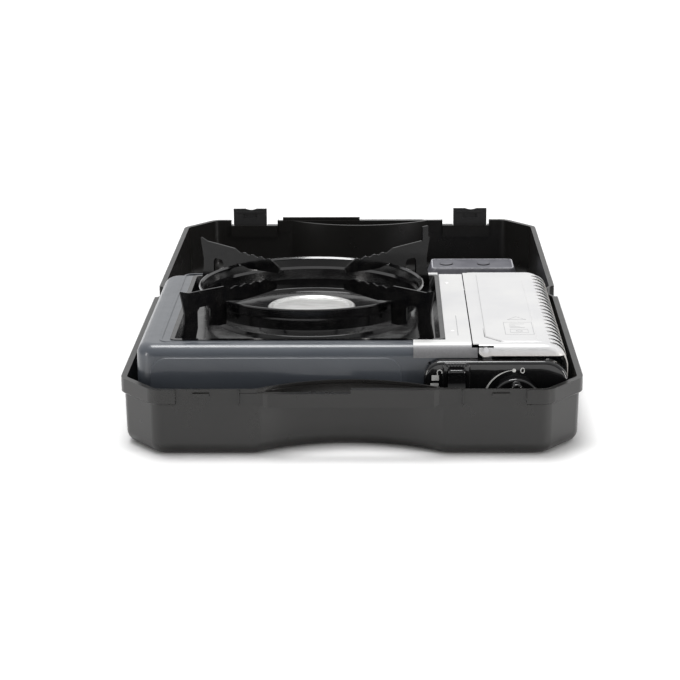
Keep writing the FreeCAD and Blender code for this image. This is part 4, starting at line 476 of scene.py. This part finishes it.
def hood_skin(form, middle, sink):
    """One side of a hood's sheet, as rows of points along the slit; sink lowers it."""
    rows = []
    for i in range(HOOD_ALONG + 1):
        along = i / HOOD_ALONG
        crest = HOOD_HIGH * math.sin(math.pi * along) ** 0.7
        rows.append([form.verts.new(hood_point(middle, along, j / HOOD_BACK,
                                               crest * (1.0 - (j / HOOD_BACK) ** 2) - sink))
                     for j in range(HOOD_BACK + 1)])
    return rows


form = bmesh.new()
for louvre in range(LOUVRES):
    middle = FIRST_LOUVRE + LOUVRE_PITCH * louvre
    outer, inner = hood_skin(form, middle, 0.0), hood_skin(form, middle, HOOD_SHEET)
    for i in range(HOOD_ALONG):
        for j in range(HOOD_BACK):
            for skin in (outer, inner):
                form.faces.new((skin[i][j], skin[i + 1][j], skin[i + 1][j + 1], skin[i][j + 1]))
        for j in (0, HOOD_BACK):
            form.faces.new((outer[i][j], outer[i + 1][j], inner[i + 1][j], inner[i][j]))
    for i in (0, HOOD_ALONG):
        for j in range(HOOD_BACK):
            form.faces.new((outer[i][j], outer[i][j + 1], inner[i][j + 1], inner[i][j]))
settle(form, "cover_louvre_hoods", bright_steel, "cover")

# A half-round bead is pressed along the front of the cover's raised pad, with tapering ends.
BEAD_X, BEAD_Y = (0.1255, 0.1595), -0.2826
BEAD_HALF, BEAD_HIGH, BEAD_SUNK = 0.0013, 0.0007, 0.0001
BEAD_STEPS, BEAD_ROUND = 20, 10
form = bmesh.new()
rows = []
for i in range(BEAD_STEPS + 1):
    x = BEAD_X[0] + (BEAD_X[1] - BEAD_X[0]) * i / BEAD_STEPS
    swell = math.sqrt(max(0.02, 1.0 - abs(2.0 * i / BEAD_STEPS - 1.0) ** 12))
    half_round = round_points((BEAD_Y, COVER_FLAT - BEAD_SUNK), (swell * BEAD_HALF, swell * BEAD_HIGH),
                              0.0, 180.0, BEAD_ROUND + 1)
    rows.append([form.verts.new((x, y, z)) for y, z in half_round])
for here, there in zip(rows, rows[1:]):
    for j in range(-1, BEAD_ROUND):
        form.faces.new((here[j], here[j + 1], there[j + 1], there[j]))
form.faces.new(rows[0])
form.faces.new(rows[-1])
settle(form, "pad_front_bead", bright_steel, "cover")

# A strip of gloss black along the pad's left front corner is painted shade for the crease at its foot.
# A line is scored in the deck plate, and the plate runs on behind the pan as a narrow tongue on the
# painted top.
PAINTED_CREASE_SHADE, PAINTED_CREASE_SHADE_WIDTHS = [(0.1115, -0.238), (0.1115, -0.2665), (0.1245, -0.2817)], [0.0002, 0.0008, 0.0007]
form = bmesh.new()
ribbon(form, flat_at(COVER_FLAT), PAINTED_CREASE_SHADE, PAINTED_CREASE_SHADE_WIDTHS, INK)
settle(form, "pad_crease_shade", gloss_black, "cover")

SCORE, SCORE_WIDTH = [(0.0895, -0.262), (0.0895, -0.196)], 0.0005
form = bmesh.new()
ribbon(form, flat_at(DECK_LEVEL), SCORE, [SCORE_WIDTH] * 2, INK)
settle(form, "deck_score_line", etched, "stove")

PAINTED_LEVEL, DECK_SHEET = 0.0832, 0.0008
TONGUE, TONGUE_WIDTH = [(0.0615, -0.0392), (0.0775, -0.0392)], 0.0076
form = bmesh.new()
ribbon(form, flat_at(PAINTED_LEVEL), TONGUE, [TONGUE_WIDTH] * 2, DECK_SHEET)
settle(form, "deck_back_tongue", bright_steel, "stove")


# ---------------------------------------------------------------- film on the lid's step
# A satin grey sheet is bonded over the step in the lid's floor and turns down over its sloping
# sides. Its rim is turned up into a bead coloured pale as a painted highlight along the step's edge,
# and a round of the same sheet sits on each boss.

grey_film, film_shader, film_place = finish("grey_film", (0.14, 0.14, 0.16), 0.36)
film_clouds = noise(grey_film, film_place, 0.01, 3.0)
blend_colour(grey_film, film_shader, film_clouds, (0.12, 0.12, 0.138), (0.16, 0.16, 0.182))
vary_roughness(grey_film, film_shader, film_clouds, 0.3, 0.44)
raise_surface(grey_film, film_shader, [(film_clouds, 0.00008)])
# The rim's pale colour is a painted highlight for the bright lines along the step's edges.
painted_rim_highlight, rim_highlight_shader, rim_highlight_place = finish("painted_rim_highlight", (0.55, 0.55, 0.58), 0.35)
rim_highlight_mottle = noise(painted_rim_highlight, rim_highlight_place, 0.002, 4.0)
blend_colour(painted_rim_highlight, rim_highlight_shader, rim_highlight_mottle, (0.42, 0.42, 0.45), (0.62, 0.62, 0.65))
vary_roughness(painted_rim_highlight, rim_highlight_shader, rim_highlight_mottle, 0.28, 0.44)
raise_surface(painted_rim_highlight, rim_highlight_shader, [(rim_highlight_mottle, 0.00001)])

FILM = 0.0003
STEP_TOP = 0.026
STEP_LOW, STEP_HIGH = (0.078, 0.222), (0.166, 0.266)
STEP_ROUND, CORNER_STEPS = 0.005, 6
STEP_SLOPE = 0.009 / STEP_TOP
FILM_FOOT = 0.006
FILM_EASE = 0.0002
RIM_INSET, RIM_WIDE, RIM_HIGH = 0.0009, 0.0011, 0.0007
BOSS_TOP, BOSS_RADIUS, BOSS_STEPS = 0.0272, 0.0066, 36
BOSSES = (("left_boss_film", (0.094, 0.244)), ("right_boss_film", (0.134, 0.244)))


def step_outline(grow):
    """Points round the step's top, grown outwards, counter-clockwise."""
    right, left = STEP_HIGH[0] - STEP_ROUND, STEP_LOW[0] + STEP_ROUND
    back, front = STEP_HIGH[1] - STEP_ROUND, STEP_LOW[1] + STEP_ROUND
    corners = (((right, back), 0.0), ((left, back), 90.0), ((left, front), 180.0), ((right, front), 270.0))
    return [point for centre, start in corners
            for point in round_points(centre, STEP_ROUND + grow, start, start + 90.0, CORNER_STEPS)]


def step_ring(height, out):
    """A ring on the step's slope at a height, moved outwards."""
    return [(x, y, height) for x, y in step_outline((STEP_TOP - height) * STEP_SLOPE + out)]


def stacked(form, rings):
    """A closed skin over rings of as many points each, capped at the first and the last."""
    rows = [[form.verts.new(point) for point in ring] for ring in rings]
    for here, there in zip(rows, rows[1:]):
        for i in range(len(here)):
            form.faces.new((here[i - 1], here[i], there[i], there[i - 1]))
    form.faces.new(rows[0])
    form.faces.new(rows[-1])


form = bmesh.new()
top_ring = [(x, y, STEP_TOP + FILM) for x, y in step_outline(-FILM_EASE)]
stacked(form, [step_ring(STEP_TOP, 0.0), step_ring(FILM_FOOT, 0.0), step_ring(FILM_FOOT, FILM),
               step_ring(STEP_TOP, FILM), top_ring])
settle(form, "lid_step_film", grey_film, "lid")

form = bmesh.new()
rim_line = step_outline(-RIM_INSET)
ribbon(form, flat_at(STEP_TOP + FILM), rim_line, [RIM_WIDE] * len(rim_line), RIM_HIGH, True)
settle(form, "rim_highlight_bead", painted_rim_highlight, "lid")

for name, centre in BOSSES:
    form = bmesh.new()
    stacked(form, [[(x, y, z) for x, y in round_points(centre, radius, 0.0, 350.0, BOSS_STEPS)]
                   for z, radius in ((BOSS_TOP, BOSS_RADIUS), (BOSS_TOP + FILM, BOSS_RADIUS - FILM))])
    settle(form, name, grey_film, "lid")


# ---------------------------------------------------------------- inner pieces
# Brackets, rail, pusher, cradle and heat wall are galvanised sheet with its spangle. The jet and
# the nozzle are brass, the pipe copper, and the igniter, lead, sleeve and seal their own stuff.

galvanised, zinc_shader, zinc_place = finish("galvanised", (0.6, 0.61, 0.62), 0.38, metallic=1.0)
spangle = galvanised.node_tree.nodes.new("ShaderNodeTexVoronoi")
spangle.inputs["Scale"].default_value = 220.0
galvanised.node_tree.links.new(zinc_place, spangle.inputs["Vector"])
blend_colour(galvanised, zinc_shader, spangle.outputs["Distance"], (0.5, 0.51, 0.52), (0.7, 0.71, 0.72),
             0.1, 0.7)
vary_roughness(galvanised, zinc_shader, spangle.outputs["Distance"], 0.3, 0.5)
dress(galvanised, "heat_wall", "mixing_tube", "burner_bracket", "lock_rail", "cartridge_pusher",
      "cartridge_cradle")

for piece_name, tint, rough, metal, nodes in (
        ("brass", (0.72, 0.52, 0.22), 0.28, 1.0, ("gas_jet", "regulator_nozzle")),
        ("copper", (0.78, 0.42, 0.27), 0.3, 1.0, ("gas_pipe",)),
        ("igniter_plastic", (0.05, 0.05, 0.052), 0.42, 0.0, ("piezo_igniter",)),
        ("ceramic", (0.86, 0.85, 0.81), 0.2, 0.0, ("electrode_insulator",)),
        ("lead_sleeve", (0.4, 0.03, 0.02), 0.45, 0.0, ("ignition_lead",)),
        ("soft_rubber", (0.02, 0.02, 0.02), 0.75, 0.0, ("stove_feet", "nozzle_seal"))):
    stuff, stuff_shader, stuff_place = finish(piece_name, tint, rough, metallic=metal)
    mottle = noise(stuff, stuff_place, 0.002, 4.0)
    blend_colour(stuff, stuff_shader, mottle, [c * 0.85 for c in tint], [min(1, c * 1.12) for c in tint])
    vary_roughness(stuff, stuff_shader, mottle, rough * 0.8, rough * 1.2)
    raise_surface(stuff, stuff_shader, [(mottle, 0.00002)])
    dress(stuff, *nodes)
